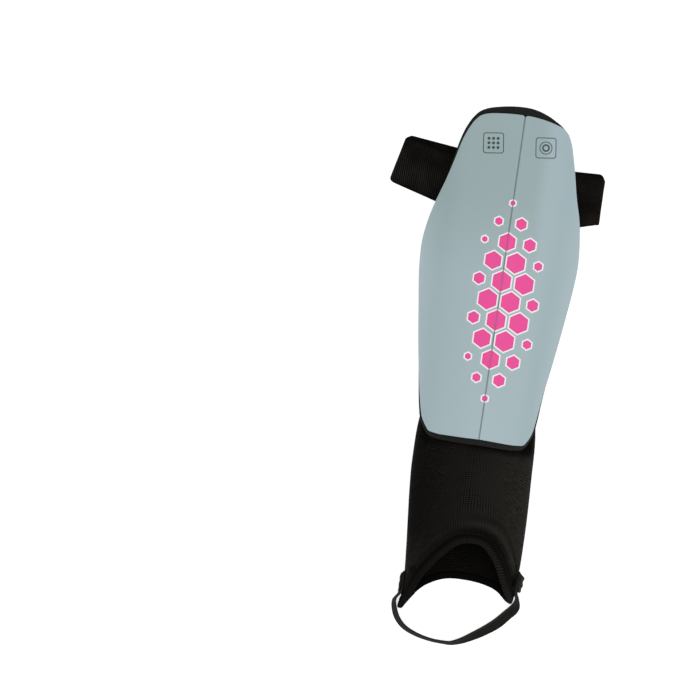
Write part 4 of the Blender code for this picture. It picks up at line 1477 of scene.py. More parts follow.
@dataclass
class AnkleSleeve:
    """The knitted tube from under the liner down to the ribbed hem."""

    form: ArchForm
    overlap: float = 0.0170
    length: float = 0.1390
    half_width: float = 0.0420
    high: float = 0.0330
    side_height: float = 0.0090
    sink: float = 0.0025
    wall: float = 0.0015
    dent_depth: float = 0.0016
    liner_room: float = 0.0016
    hem_width: float = 0.0060
    turn_span: float = 0.0110
    lap: float = 0.00115
    lap_depth: float = 0.00075
    columns: int = 240
    rows: int = 120
    inner_rows: int = 50
    ribs: int = 132
    rib_columns: int = 6
    rib_height: float = 0.00016
    tooth: float = 0.00038
    stitch_radius: float = 0.00020
    stitch_insets: tuple[float, float] = (0.0045, 0.0074)
    stitch_floor_room: float = 0.0012
    squareness: tuple[float, float] = (2.3, 2.6)
    release: float = 0.8
    softness: float = 0.002
    girth_level: float = 0.8
    front_angle: float = 88.0
    seam_gap: float = 0.0003
    ripple: tuple[float, float] = (0.0062, 0.00010)
    # Painted light and shade on the knit, as factors on its colour: lighter to the right and
    # darker to the left, lighter towards the lower left, painted shade on the inner face and
    # underside, and a painted shadow in the slit beside the right tab.
    middle_tone: float = 0.97
    painted_light_slope: float = 0.76
    low_left_tone: float = 0.85
    inside_and_under_shade: float = 0.36
    slit_shadow: tuple[float, float] = (0.0366, -0.0880)
    # Distance from the hem's outer edge and depth under the sleeve's face, in millimetres
    hem_profile: Rows = (
        (0.00, 0.90), (0.15, 0.35), (0.60, -0.05), (1.40, -0.28), (2.40, -0.38),
        (3.60, -0.38), (4.60, -0.30), (5.40, -0.15), (5.85, 0.02), (6.00, 0.30),
        (5.85, 0.56), (5.20, 0.62), (4.72, 0.80), (4.50, 1.50), (4.20, 2.00),
        (3.60, 2.20), (2.40, 2.30), (1.20, 2.20), (0.50, 1.95), (0.12, 1.45),
    )
    sections: Table = Table("along left right top side", (
        (0.00, 0.945, 0.845, 1.00, 1.00), (0.12, 0.983, 0.893, 1.00, 1.00),
        (0.27, 0.988, 0.912, 0.99, 1.00), (0.41, 0.964, 0.929, 0.95, 1.00),
        (0.55, 0.924, 0.938, 0.90, 0.98), (0.70, 0.880, 0.934, 0.84, 0.95),
        (0.84, 0.852, 0.902, 0.78, 0.93), (0.92, 0.860, 0.862, 0.74, 0.92),
        (1.00, 0.908, 0.820, 0.70, 0.92),
    ))
    hem_line: Table = Table("around along", (
        (0.0, 0.886), (15.0, 0.880), (30.0, 0.858), (45.0, 0.799), (60.0, 0.705), (73.0, 0.641),
        (83.0, 0.624), (93.0, 0.636), (105.0, 0.688), (120.0, 0.762), (135.0, 0.842),
        (150.0, 0.938), (162.0, 0.976), (180.0, 0.976), (195.0, 0.972), (210.0, 0.955),
        (222.0, 0.912), (240.0, 0.852), (270.0, 0.803), (300.0, 0.824), (330.0, 0.876),
    ), 360.0)
    # across, along, wide, long, depth, turn
    dents: Rows = (
        (0.30, 0.215, 0.55, 0.040, 1.0, -8.0), (-0.45, 0.235, 0.40, 0.035, 0.55, 6.0),
        (0.52, 0.615, 0.42, 0.035, 0.9, -38.0), (-0.62, 0.600, 0.35, 0.030, 0.6, 22.0),
    )
    # x, y, long, wide, rise, turn
    folds: Rows = (
        (-0.024, -0.024, 0.022, 0.0022, 0.00035, 4.0),
        (0.018, -0.030, 0.020, 0.0026, 0.00040, -6.0),
        (-0.006, -0.036, 0.026, 0.0020, 0.00030, 3.0),
        (-0.028, -0.046, 0.015, 0.0022, 0.00045, 8.0),
        (0.026, -0.047, 0.014, 0.0024, 0.00040, -12.0),
        (-0.027, -0.060, 0.014, 0.0020, 0.00060, 14.0),
        (-0.030, -0.069, 0.012, 0.0022, 0.00060, 24.0),
        (0.033, -0.068, 0.012, 0.0030, 0.00045, -50.0),
    )
    # inset, wide, rise everywhere, more rise on the right
    hem_waves: Rows = ((0.0068, 0.0022, 0.0, 0.0015), (0.0026, 0.0018, -0.00054, -0.00066))
    # Painted shade in two creases above the hem and a painted highlight on the fold between them:
    # inset, wide, tone everywhere, more tone on the right
    hem_painted_shading: Rows = (
        (0.0018, 0.0022, -0.35, -0.37), (0.0108, 0.0020, 0.0, -0.30), (0.0070, 0.0018, 0.0, 0.30),
    )

    def value(self, column: str, y: Array) -> Array:
        """One column of the sections, read at y."""
        return self.sections.read(column, (self.overlap - y) / self.length)

    def dent(self, x: Array, y: Array) -> Array:
        """How far the front is pressed in.

        Args:
            x: Places across the guard.
            y: Places along the guard.

        Returns:
            The depths.
        """
        total = np.zeros(np.broadcast(x, y).shape)
        for across, along, wide, long, depth, turn in self.dents:
            dx = x - across * self.half_width
            dy = y - (self.overlap - along * self.length)
            dx, dy = turned(dx, dy, math.radians(turn))
            dx, dy = dx / (wide * self.half_width), dy / (long * self.length)
            total = total + depth * np.exp(-(dx**2) - dy**2)
        return total * self.dent_depth

    def section(self, angle: Array, y: Array) -> Array:
        """Outer face of the sleeve: a flat-bottomed oval under the liner's arch.

        Args:
            angle: Angles round the sleeve from its right side over the front.
            y: Places along the guard, one for each angle.

        Returns:
            The points, with a last axis of 3.
        """
        left = -self.value("left", y) * self.half_width
        right = self.value("right", y) * self.half_width
        top = self.value("top", y) * self.high
        side = self.value("side", y) * self.side_height
        cosine, sine = np.cos(angle), np.sin(angle)
        power = np.where(sine > 0.0, *(2.0 / number for number in self.squareness))
        half = (right - left) / 2.0
        x = (left + right) / 2.0 + half * np.sign(cosine) * np.abs(cosine) ** power
        front = side + (top - side) * np.abs(sine) ** power - self.dent(x, y)
        ceiling = self.form.inside_liner(x, y, self.liner_room)
        ceiling = ceiling + self.release * np.maximum(self.form.past_liner(y), 0.0)
        mix = np.clip(0.5 + 0.5 * (ceiling - front) / self.softness, 0.0, 1.0)
        front = ceiling + (front - ceiling) * mix - self.softness * mix * (1.0 - mix)
        back = np.maximum(side - (side + self.sink) * np.abs(sine) ** power, 0.0)
        return np.stack((x, y + 0.0 * x, np.where(sine > 0.0, front, back)), axis=-1)

    def girth(self) -> tuple[Array, Array]:
        """Angles round the sleeve and the girth up to each.

        Returns:
            The angles and the girths.
        """
        fine = np.linspace(0.0, 2.0 * math.pi, 145)
        level = self.overlap - self.girth_level * self.length
        return fine, run_along(self.section(fine, np.full_like(fine, level)))

    def hem_y(self, at: Array) -> Array:
        """Place of the hem line at a girth.

        Args:
            at: Girths.

        Returns:
            Their places along the guard.
        """
        fine, girth = self.girth()
        angle = np.degrees(np.interp(np.mod(at, girth[-1]), girth, fine))
        return self.overlap - self.hem_line.read("along", angle) * self.length

    def above_hem(self, at: Array, inset: float) -> tuple[Array, Array, Array]:
        """Points that lie an inset above the hem line, on the sleeve.

        Args:
            at: Girths of the points on the hem line.
            inset: Distance from the hem line.

        Returns:
            Angle and y of each point, and the hem's length for each unit of girth there.
        """
        fine, girth = self.girth()
        span = self.turn_span
        slope = (self.hem_y(at + span) - self.hem_y(at - span)) / (2.0 * span)
        stretch = np.sqrt(1.0 + slope**2)
        moved = np.mod(at - inset * slope / stretch, girth[-1])
        return np.interp(moved, girth, fine), self.hem_y(at) + inset / stretch, stretch

    def face(self, angle: Array, y: Array, proud: Array | float) -> Array:
        """Points on the sleeve's outer face or outside it, never under the floor.

        Args:
            angle: Angles round the sleeve.
            y: Places along the guard.
            proud: Distance outside the face.

        Returns:
            The points, with a last axis of 3.
        """
        here = self.section(angle, y)
        around = self.section(angle + 0.01, y) - self.section(angle - 0.01, y)
        along = self.section(angle, y + 0.0005) - here
        placed = here + unit(np.cross(along, around)) * np.asarray(proud)[..., None]
        placed[..., 2] = np.maximum(placed[..., 2], 0.0)
        return placed

    @staticmethod
    def right_arc(angle: Array, end: float, fade: float) -> Array:
        """Mask of the front's right side, up to an end in degrees with a fade."""
        turn = np.degrees(np.mod(angle, 2.0 * math.pi))
        return past(turn, 12.0, 18.0) * (1.0 - past(turn, end, fade))

    def fold_rise(self, angle: Array, y: Array, inset: Array) -> Array:
        """How far the knit stands out or in at each point, from its folds and creases.

        Args:
            angle: Angles round the sleeve.
            y: Places along the guard.
            inset: Distance from the hem band's outer edge.

        Returns:
            Distance outside the plain form.
        """
        x = self.section(angle, y)[..., 0]
        on_front = past(np.sin(angle), 0.05, 0.35)
        right = self.right_arc(angle, 78.0, 22.0)
        rise = np.zeros(x.shape)
        for fold_x, fold_y, long, wide, high, turn in self.folds:
            along, across = turned(x - fold_x, y - fold_y, math.radians(turn))
            rise = rise + high * hump(across, wide) * hump(along, long)
        length, high = self.ripple
        ripple = np.sin(y * 2.0 * math.pi / length + 2.0 * np.sin(x * 60.0))
        rise = rise + high * ripple * past(-y, 0.010, 0.02)
        for middle, wide, everywhere, more in self.hem_waves:
            rise = rise + (everywhere + more * right) * hump(inset - middle, wide)
        return rise * on_front * past(self.form.past_liner(y), 0.002, 0.006)

    def tone(self, angle: Array, y: Array, inset: Array) -> Array:
        """Painted light and shade on the knit at each point: painted shade in creases, along its
        left side, under the liner's edge, in the slit by the right tab, on its inner face and
        underside, and painted light to the right.

        Args:
            angle: Angles round the sleeve.
            y: Places along the guard.
            inset: Distance from the hem band's outer edge.

        Returns:
            Factor on the knit's colour.
        """
        x = self.section(angle, y)[..., 0]
        front = past(np.sin(angle), -0.10, 0.20)
        right = self.right_arc(angle, 80.0, 25.0)
        share = np.clip(x / self.half_width, -1.0, 1.0)
        low = past(-y, 0.060, 0.030)
        # Painted light and shade: lighter to the right, darker to the left, lighter towards the
        # lower left.
        tone = self.middle_tone + self.painted_light_slope * share
        tone = tone + self.low_left_tone * low * np.maximum(-share, 0.0)
        # Painted shade in the creases and a painted highlight on the fold above the hem.
        for middle, wide, everywhere, more in self.hem_painted_shading:
            tone = tone * (1.0 + (everywhere + more * right) * hump(inset - middle, wide))
        # Painted shadow just under the liner's edge, fading to the left.
        shaded = 0.25 + 0.75 * past(x, -0.012, 0.014)
        tone = tone * (1.0 - 0.78 * shaded * (1.0 - past(self.form.past_liner(y), -0.001, 0.0075)))
        # Painted shadow in the slit beside the right tab, and painted shade on the inner face and
        # underside.
        slit_x, slit_y = self.slit_shadow
        slit_shadow = (1.0 - past(np.abs(y - slit_y), 0.0055, 0.0025)) * hump(x - slit_x, 0.0015)
        return tone * (1.0 - 0.9 * slit_shadow) * front + self.inside_and_under_shade * (1.0 - front)

    def build_tube(self) -> bpy.types.Object:
        """Model the knitted tube with its inner face, its lower end under the band.

        Returns:
            The finished tube.
        """
        fine, girth = self.girth()
        starts = np.arange(self.columns + 1) / self.columns * girth[-1]
        angles = np.interp(starts, girth, fine)
        hem_angles, hem_ys, stretch = self.above_hem(starts, self.hem_width + self.seam_gap)
        shift = np.mod(hem_angles - angles + math.pi, 2.0 * math.pi) - math.pi

        def rows(count: int, first: float, last: float, depth: float) -> list[Array]:
            """Place rows of points between two shares of the tube's length.

            Args:
                count: Number of rows.
                first: Share of the first row.
                last: Share of the last row.
                depth: Depth under the knit's outer face.

            Returns:
                The rows.
            """
            made = []
            for share in np.linspace(first, last, count):
                angle = angles + share * shift
                y = self.overlap + share * (hem_ys - self.overlap)
                inset = (y - hem_ys) / stretch
                rise = self.fold_rise(angle, y, inset)
                made.append(self.face(angle, y, rise - depth))
                # Inner rows take the painted shade of the inside; outer rows take the painted
                # light and shade of tone().
                plain = np.full(len(angle), self.inside_and_under_shade)
                tones.append(plain if depth > 0.0 else self.tone(angle, y, inset))
            return made

        tones: list[Array] = []
        net = rows(self.rows, 0.0, 1.0, 0.0)
        end = self.hem_width - self.lap
        for inset, depth in ((self.hem_width + 0.0001, 0.4 * self.lap_depth),
                             (self.hem_width - 0.0002, self.lap_depth),
                             (end + 0.0003, self.lap_depth),
                             (end, (self.lap_depth + self.wall) / 2.0 + 0.0002),
                             (end + 0.0003, self.wall + 0.0003)):
            angle, y, _ = self.above_hem(starts, inset)
            net.append(self.face(angle, y, np.full(len(angle), -depth)))
            tones.append(tones[-1])
        net.extend(rows(self.inner_rows, 0.995, 0.0, self.wall))
        net.append(net[0])
        tones.append(tones[0])
        net = np.array(net)
        along = run_along(net[:, self.columns // 4])
        return self.finished("ankle_sleeve_dressed", net, starts, along, tones)

    def finished(self, name: str, net: list[Array] | Array, us: Array,
                 vs: list[float] | Array, tones: list[Array]) -> bpy.types.Object:
        """Close a net into a ring-shaped piece and smooth it.

        Args:
            name: Name of the new piece.
            net: Rows of points, the first and last of which meet.
            us: Place across the cloth of each column.
            vs: Place along the cloth of each row.
            tones: Painted light and shade of the cloth at each point, row by row.

        Returns:
            The finished piece.
        """
        points = np.array(net)
        points[:, -1] = points[:, 0]
        piece = Bench.surface(name, self.form.placed(points), us, np.array(vs), wrap=True,
                              tone=np.array(tones))
        Bench.smooth(piece, 60.0)
        return piece

    def hem_run(self, starts: Array) -> Array:
        """Length along the hem up to each girth.

        Args:
            starts: Girths.

        Returns:
            The lengths.
        """
        _, _, stretch = self.above_hem(starts, 0.0)
        steps = (stretch[1:] + stretch[:-1]) / 2.0 * np.diff(starts)
        return np.concatenate(([0.0], np.cumsum(steps)))

    def even_starts(self, count: int) -> tuple[Array, Array]:
        """Girths that are evenly spaced along the hem, and the run up to each.

        Args:
            count: Number of spaces.

        Returns:
            The girths and the runs.
        """
        _, girth = self.girth()
        dense = np.linspace(0.0, girth[-1], 3000)
        run = self.hem_run(dense)
        even = np.arange(count + 1) / count * run[-1]
        return np.interp(even, run, dense), even

    def build_hem(self) -> bpy.types.Object:
        """Model the ribbed band: a rounded profile swept round the foot opening.

        Returns:
            The finished band.
        """
        starts, run = self.even_starts(self.ribs * self.rib_columns)
        rib = 0.5 + 0.5 * np.cos(np.arange(len(run)) * 2.0 * math.pi / self.rib_columns)
        worn = 0.85 + 0.15 * np.sin(run * 2.0 * math.pi / 0.023)
        angle, _, _ = self.above_hem(starts, 0.0)
        on_front = past(np.sin(angle), 0.05, 0.25)
        worn = worn * (0.12 + on_front * (0.58 + 0.30 * np.cos(angle)))
        net, vs, tones = [], [], []
        for inset, depth in (*self.hem_profile, self.hem_profile[0]):
            outer = float(depth < 0.6)
            near_edge = max(0.0, 1.0 - inset / 1.6)
            moved = inset / 1000.0 - self.tooth * near_edge * rib * worn
            high = (0.4 + 0.6 * outer) * (1.0 - 0.8 * float(past(inset, 2.4, 1.6)))
            proud = -depth / 1000.0 + self.rib_height * high * rib * worn
            angle, y, _ = self.above_hem(starts, moved)
            net.append(self.face(angle, y, proud))
            vs.append(inset / 1000.0 + (0.0 if outer else 0.010))
            # Painted shade on the band's upper part by the seam, painted light to the right, and
            # painted shade on its back.
            dark = 1.0 - 0.72 * past(inset, 2.7, 1.6) * outer
            lit = 0.80 + 0.35 * np.clip(np.cos(angle), -0.6, 1.0)
            tones.append(0.45 + (lit * dark - 0.45) * on_front)
        return self.finished("hem_band_dressed", net, run, vs, tones)

    def build_overlock(self) -> bpy.types.Object:
        """Model the stitches that cross the seam between the band and the tube.

        Returns:
            All the stitches as one piece.
        """
        count = self.ribs
        starts, _ = self.even_starts(count)
        starts = starts[:-1] + np.diff(starts) * 0.5
        lift = np.full(count, 1.35 * self.stitch_radius)
        low, high = self.stitch_insets
        lows, highs, besides = (
            self.face(*self.above_hem(starts + step, inset)[:2], lift)
            for inset, step in ((low, 0.0), (high, 0.0), (low, 0.0002)))
        pattern = Bench.thread("overlock_stitch", self.stitch_radius, 1.0)
        Bench.edit(pattern, "FACE")
        bpy.ops.mesh.bisect(plane_co=(0.0, 0.0, 0.0), plane_no=(1.0, 0.0, 0.0))
        Bench.close_edit()
        shape = Bench.places(pattern)
        shape[:, 2] -= 1.2 * self.stitch_radius * (2.0 * shape[:, 0]) ** 2
        Bench.move_to(pattern, shape)
        frames = []
        for start, end, near in zip(lows, highs, besides):
            out, side = end - start, near - start
            side = unit(side - out * (side @ out) / (out @ out))
            middle = self.form.placed((start + end) / 2.0)
            if middle[2] > self.stitch_floor_room:
                frames.append(frame_at(out, side, unit(np.cross(out, side)), middle))
        return Bench.copies(pattern, "hem_stitches", frames)

    def dress(self) -> None:
        """Build the tube, the band and its stitches, and give them their knit."""
        fine, girth = self.girth()
        front = float(np.interp(math.radians(self.front_angle), fine, girth))
        knit = FineKnit("fine_knit", front).make()
        tube = settle(self.build_tube(), knit, Slot.KNIT, "ankle_sleeve")
        band = settle(self.build_hem(), RibbedEdge(self.form.shift).make(), Slot.RIB,
                      "hem_band")
        stitches = settle(self.build_overlock(), SpunThread().make(), Slot.RIB)


@dataclass
class CalfStrap:
    """The wide elastic strap behind the calf, and the patch that it closes on."""

    form: ArchForm
    width: float = 0.0330
    wall: float = 0.0015
    reach_left: float = 0.0817
    reach_right: float = 0.0576
    level: float = 0.1675
    fold_radius: float = 0.0011
    corner_left: float = 0.0034
    corner_right: float = 0.0018
    sewn_gap: float = 0.0009
    patch_wall: float = 0.0010
    columns: int = 20
    step: float = 0.0022
    fold_steps: int = 10
    rounding: float = 0.0005
    # knee edge x and y, ankle edge x and y, ply
    stations: tuple[tuple[float, float, float, float, Ply], ...] = (
        (-0.27, 0.31, -0.32, -0.66, Ply.UPPER),
        (-0.51, 0.45, -0.61, -0.53, Ply.UPPER),
        (-0.88, 0.65, -0.985, -0.27, Ply.UPPER),
        (-0.91, 0.72, -1.00, -0.27, Ply.LOWER),
        (-0.50, 0.60, -0.56, -0.43, Ply.LOWER),
        (0.00, 0.48, 0.00, -0.52, Ply.LOWER),
        (1.00, 0.39, 0.99, -0.53, Ply.LOWER),
        (0.945, 0.48, 0.985, -0.54, Ply.UPPER),
        (0.66, 0.46, 0.80, -0.63, Ply.UPPER),
        (0.36, 0.42, 0.45, -0.73, Ply.UPPER),
    )

    def plan(self, station: tuple[float, float, float, float, Ply]) -> tuple[Array, Array]:
        """Knee and ankle edge of the strap in plan at one station.

        Args:
            station: One row of the stations.

        Returns:
            The two points.
        """
        ends = []
        for x_share, y_share in (station[0:2], station[2:4]):
            reach = self.reach_left if x_share < 0.0 else self.reach_right
            ends.append(np.array((x_share * reach, self.level + y_share * self.width)))
        return ends[0], ends[1]

    def upper_height(self, x: float, y: float) -> float:
        """Middle height of the upper ply, from the liner's inner face to the floor.

        Args:
            x: Place across the guard.
            y: Place along the guard.

        Returns:
            The height.
        """
        form = self.form
        depth = self.sewn_gap if x < 0.0 else self.patch_wall + form.gap + self.sewn_gap
        flat = self.wall / 2.0 + 2.0 * self.fold_radius
        rim = float(form.rim(Side.LEFT if x < 0.0 else Side.RIGHT, y))
        distance = depth + self.wall / 2.0
        radius = form.radius(y) - form.liner_inner_depth - distance
        rim_x = form.arch_shift + radius * math.sin(rim)
        over = max(abs(x) - abs(float(rim_x)) + 2.0 * self.wall, 0.0)
        drop = max(float(form.inside_liner(x, y, distance)) - flat, 0.0)
        fall = 2.0 * max(drop, self.wall) / abs(math.tan(rim))
        return flat + drop * max(1.0 - over / fall, 0.0) ** 2

    def lines(self) -> Array:
        """Cross lines of the strap from its left end to its right end.

        Returns:
            The net of points, lines by columns by 3.
        """
        made = []
        across = np.linspace(0.0, 1.0, self.columns + 1)[:, None]
        for here, following in zip(self.stations, self.stations[1:]):
            start, end = self.plan(here), self.plan(following)
            upper, folding = here[4] is Ply.UPPER, here[4] is not following[4]
            length = max(np.linalg.norm(e - s) for s, e in zip(start, end))
            steps = self.fold_steps if folding else max(2, math.ceil(length / self.step))
            crease = start[0] - start[1]
            outward = np.array((-crease[1], crease[0])) / np.linalg.norm(crease)
            outward = outward if upper else -outward
            last = following is self.stations[-1]
            for k in range(steps + 1 if last else steps):
                share = k / steps
                if folding:
                    turn = math.pi * share
                    a = start[0] + (start[1] - start[0]) * across
                    b = end[0] + (end[1] - end[0]) * across
                    flat = a + (b - a) * (1.0 - math.cos(turn)) / 2.0
                    flat = flat + outward * self.fold_radius * math.sin(turn)
                    rise = self.fold_radius * (1.0 + (1.0 if upper else -1.0) * math.cos(turn))
                    z = np.full(len(flat), self.wall / 2.0 + rise)
                else:
                    a = start[0] + (end[0] - start[0]) * share
                    b = start[1] + (end[1] - start[1]) * share
                    flat = a + (b - a) * across
                    z = np.full(len(flat), self.wall / 2.0)
                    if upper:
                        z = np.array([self.upper_height(x, y) for x, y in flat])
                made.append(np.column_stack((flat, z)))
        return self.round_corners(np.array(made))

    def round_corners(self, net: Array) -> Array:
        """Pull the selvedges in at the two folds, where a soft strap rounds off.

        Args:
            net: The net of points.

        Returns:
            The net with rounded fold corners.
        """
        middle = self.columns // 2
        share = np.linspace(-1.0, 1.0, self.columns + 1)
        for sign, corner in ((-1.0, self.corner_left), (1.0, self.corner_right)):
            reach = sign * net[:, middle, 0]
            tip = reach.max()
            line = np.clip(tip - reach, 0.0, corner)
            inset = corner - np.sqrt(corner**2 - (corner - line) ** 2)
            for row in np.flatnonzero((line < corner) & (reach > 0.0)):
                across = net[row, -1] - net[row, 0]
                shrink = inset[row] / np.linalg.norm(across)
                net[row] -= across * (share * shrink * np.abs(share) ** 3)[:, None]
        return net

    def build(self) -> bpy.types.Object:
        """Model the strap.

        Returns:
            The finished strap.
        """
        net = self.lines()
        along = run_along(net[:, self.columns // 2])
        across = np.linspace(0.0, self.width, self.columns + 1)
        return Bench.band("calf_strap_dressed", self.form.placed(net), across, along,
                          self.wall, self.rounding)

    def dress(self) -> None:
        """Build the strap, give it its weave, and dress the patch that is a CAD node."""
        settle(self.build(), TwillElastic(self.width).make(), Slot.STRAP, "calf_strap")
        patch = bpy.data.objects["closure_patch"]
        patch.data.materials.clear()
        patch.data.materials.append(HookTape().make())
        log.info("closure_patch: %d faces", len(patch.data.polygons))


@dataclass
class Stirrup:
    """The narrow elastic under the foot, and the turned-back ends sewn to the sleeve."""

    sleeve: AnkleSleeve
    width: float = 0.0100
    wall: float = 0.0013
    droop: float = 0.1373
    reach_left: float = 0.0400
    reach_right: float = 0.0415
    sewn_gap: float = 0.0003
    sewn_lean: float = 83.0
    tab_length: float = 0.0140
    tab_height: float = 0.0112
    tab_wall: float = 0.0014
    left_middle: float = -0.1012
    right_middle: float = -0.0908
    left_swell: float = 0.0004
    right_swell: float = 0.0010
    pressed: float = 0.82
    tack_size: tuple[float, float] = (0.0040, 0.0034)
    tack_turns: tuple[float, float] = (148.0, 27.0)
    rounding: float = 0.00045
    tab_rounding: float = 0.0004
    tab_gap: float = 0.0003
    pressed_span: float = 0.0042
    left_pressed: float = 0.38
    pleat: float = 0.00018
    # Places of the two lumps as shares of half the tab's length
    left_lumps: tuple[float, float] = (0.39, -0.46)
    right_lumps: tuple[float, float] = (0.50, -0.24)
    thread_radius: float = 0.00024
    thread_count: int = 9
    tack_rises: tuple[float, float] = (0.0087, 0.0093)
    columns: int = 8
    step: float = 0.0016
    # across, along, lean, lift
    stations: Rows = (
        (-0.955, 0.806, 88.0, 0.28), (-1.000, 0.834, 80.0, 0.16), (-0.975, 0.872, 75.0, 0.06),
        (-0.910, 0.913, 74.0, 0.02), (-0.790, 0.950, 76.0, 0.02), (-0.580, 0.979, 79.0, 0.02),
        (-0.300, 0.997, 82.0, 0.02), (-0.025, 1.000, 80.0, 0.02), (0.150, 0.985, 72.0, 0.02),
        (0.360, 0.950, 61.0, 0.02), (0.550, 0.912, 54.0, 0.03), (0.715, 0.872, 49.0, 0.05),
        (0.840, 0.830, 50.0, 0.10), (0.958, 0.786, 54.0, 0.16), (0.970, 0.746, 79.0, 0.28),
    )

    def beside(self, side: Side, y: float, distance: float) -> Array:
        """A point beside the sleeve, a distance out from its side.

        Args:
            side: The side of the guard.
            y: Its place along the guard.
            distance: Its distance from the sleeve.

        Returns:
            The point.
        """
        reach = float(self.sleeve.value(side.value, y)) * self.sleeve.half_width
        z = float(self.sleeve.value("side", y)) * self.sleeve.side_height
        return np.array((side.sign * (reach + distance), y, z))

    def centre_line(self) -> tuple[Array, Array]:
        """The stirrup's centre line and the lean of its face at each point.

        Returns:
            The points and the leans in radians.
        """
        distance = self.sewn_gap + self.wall / 2.0
        left, right = (
            [self.beside(side, middle + share * self.tab_length, distance) for share in shares]
            for side, middle, shares in (
                (Side.LEFT, self.left_middle, (0.5, 0.0, -0.55)),
                (Side.RIGHT, self.right_middle, (-0.55, 0.0, 0.5))))
        points = []
        for across, along, degrees, lift in self.stations:
            reach = self.reach_left if across < 0.0 else self.reach_right
            lean = math.radians(degrees)
            high = self.width * math.sin(lean) + self.wall * math.cos(lean)
            z = lift * self.width + high / 2.0
            points.append(np.array((across * reach, -along * self.droop, z)))
        points = left + points + right
        sewn = [self.sewn_lean] * len(left)
        leans = sewn + [degrees for _, _, degrees, _ in self.stations] + sewn
        runs = run_along(np.array(points))
        table = Table("run x y z lean", tuple(
            (run, *point, degrees) for run, point, degrees in zip(runs, points, leans)))
        at = np.linspace(0.0, runs[-1], round(runs[-1] / self.step) + 1)
        centre = np.column_stack([table.read(axis, at) for axis in "xyz"])
        return centre, np.radians(table.read("lean", at))

    def build_band(self) -> bpy.types.Object:
        """Model the elastic band.

        Returns:
            The finished band.
        """
        centre, lean = self.centre_line()
        along = np.gradient(centre, axis=0)
        along[:, 2] = 0.0
        along = unit(along)
        inward = np.column_stack((-along[:, 1], along[:, 0], np.zeros(len(along))))
        up = np.array((0.0, 0.0, 1.0))
        width = inward * np.cos(lean)[:, None] + up * np.sin(lean)[:, None]
        share = np.linspace(-0.5, 0.5, self.columns + 1)
        points = centre[:, None] + width[:, None] * self.width * share[None, :, None]
        across = (share + 0.5) * self.width
        piece = Bench.band("stirrup_dressed", self.sleeve.form.placed(points), across,
                           run_along(centre), self.wall, self.rounding)
        self.press_ends(piece)
        return piece

    def press_ends(self, piece: bpy.types.Object) -> None:
        """Press the sewn ends flat against the sleeve towards their upper edge.

        Args:
            piece: The band or one of its turned-back ends.
        """
        at = Bench.places(piece)
        shift = self.sleeve.form.shift
        x, y = at[:, 0] - shift[0], at[:, 1] - shift[1]
        for side, middle in ((Side.LEFT, self.left_middle), (Side.RIGHT, self.right_middle)):
            reach = self.sleeve.value(side.value, y) * self.sleeve.half_width
            out = side.sign * x - reach
            near = (side.sign * x > 0.0) & (y > middle - self.tab_length / 2.0)
            least = self.left_pressed if side is Side.LEFT else 0.0
            end, span = middle + self.tab_length / 2.0, self.pressed_span
            pressed = self.pressed * past(y - end, -span, span)
            keep = 1.0 - np.maximum(pressed, least)
            at[:, 0] = np.where(near, side.sign * (reach + out * keep) + shift[0], at[:, 0])
        Bench.move_to(piece, at)

    def tab_frame(self, side: Side, middle: float, distance: float) -> Array:
        """Frame of a sewn end: x away from the sleeve, y to the knee, z up its face.

        Args:
            side: The side of the guard.
            middle: Its middle along the guard.
            distance: Distance out from the sleeve's side.

        Returns:
            A 4 by 4 matrix.
        """
        low, high = (self.beside(side, middle + share * self.tab_length, distance)
                     for share in (-0.5, 0.5))
        along = unit(high - low)
        lean = math.radians(self.sewn_lean)
        out = np.array((side.sign * math.sin(lean), 0.0, math.cos(lean)))
        out = unit(out - along * (out @ along))
        up = np.cross(out, along) * side.sign
        return frame_at(out, along, up, self.sleeve.form.placed((low + high) / 2.0))

    def build_tab(self, side: Side, middle: float) -> bpy.types.Object:
        """Model one turned-back end: a soft folded block that swells in two lumps.

        Args:
            side: The side that it is sewn to.
            middle: Its middle along the guard.

        Returns:
            The finished tab.
        """
        distance = self.sewn_gap + self.wall + self.tab_gap + self.tab_wall / 2.0
        frame = self.tab_frame(side, middle, distance)
        Bench.clear_selection()
        bpy.ops.mesh.primitive_cube_add(size=1.0)
        bpy.context.object.scale = (self.tab_wall, self.tab_length, self.tab_height)
        piece = Bench.started(f"stirrup_tab_{side.value}_dressed")
        Bench.edit(piece, "FACE")
        bpy.ops.mesh.subdivide(number_cuts=23)
        Bench.close_edit()
        at = Bench.places(piece)
        run, rise = 2.0 * at[:, 1] / self.tab_length, 2.0 * at[:, 2] / self.tab_height
        high, low = self.left_lumps if side is Side.LEFT else self.right_lumps
        lumps = hump(run - high, 0.31) + 0.85 * hump(run - low, 0.32)
        most = self.left_swell if side is Side.LEFT else self.right_swell
        swell = most * lumps * (1.0 - 0.75 * np.abs(rise) ** 3)
        pleat = self.pleat * np.sin(run * 9.0 + rise * 2.0)
        at[:, 0] += np.where(at[:, 0] > 0.0, swell + pleat, 0.0)
        at[:, 2] *= 1.0 - 0.22 * np.abs(run) ** 2.5
        at[:, 1] *= 1.0 - 0.16 * np.abs(rise) ** 2.5
        placed = np.column_stack((at, np.ones(len(at)))) @ frame.T
        Bench.move_to(piece, placed[:, :3])
        Bench.turn_outward(piece)
        Bench.round_edges(piece, self.tab_rounding, 2)
        self.press_ends(piece)
        return piece

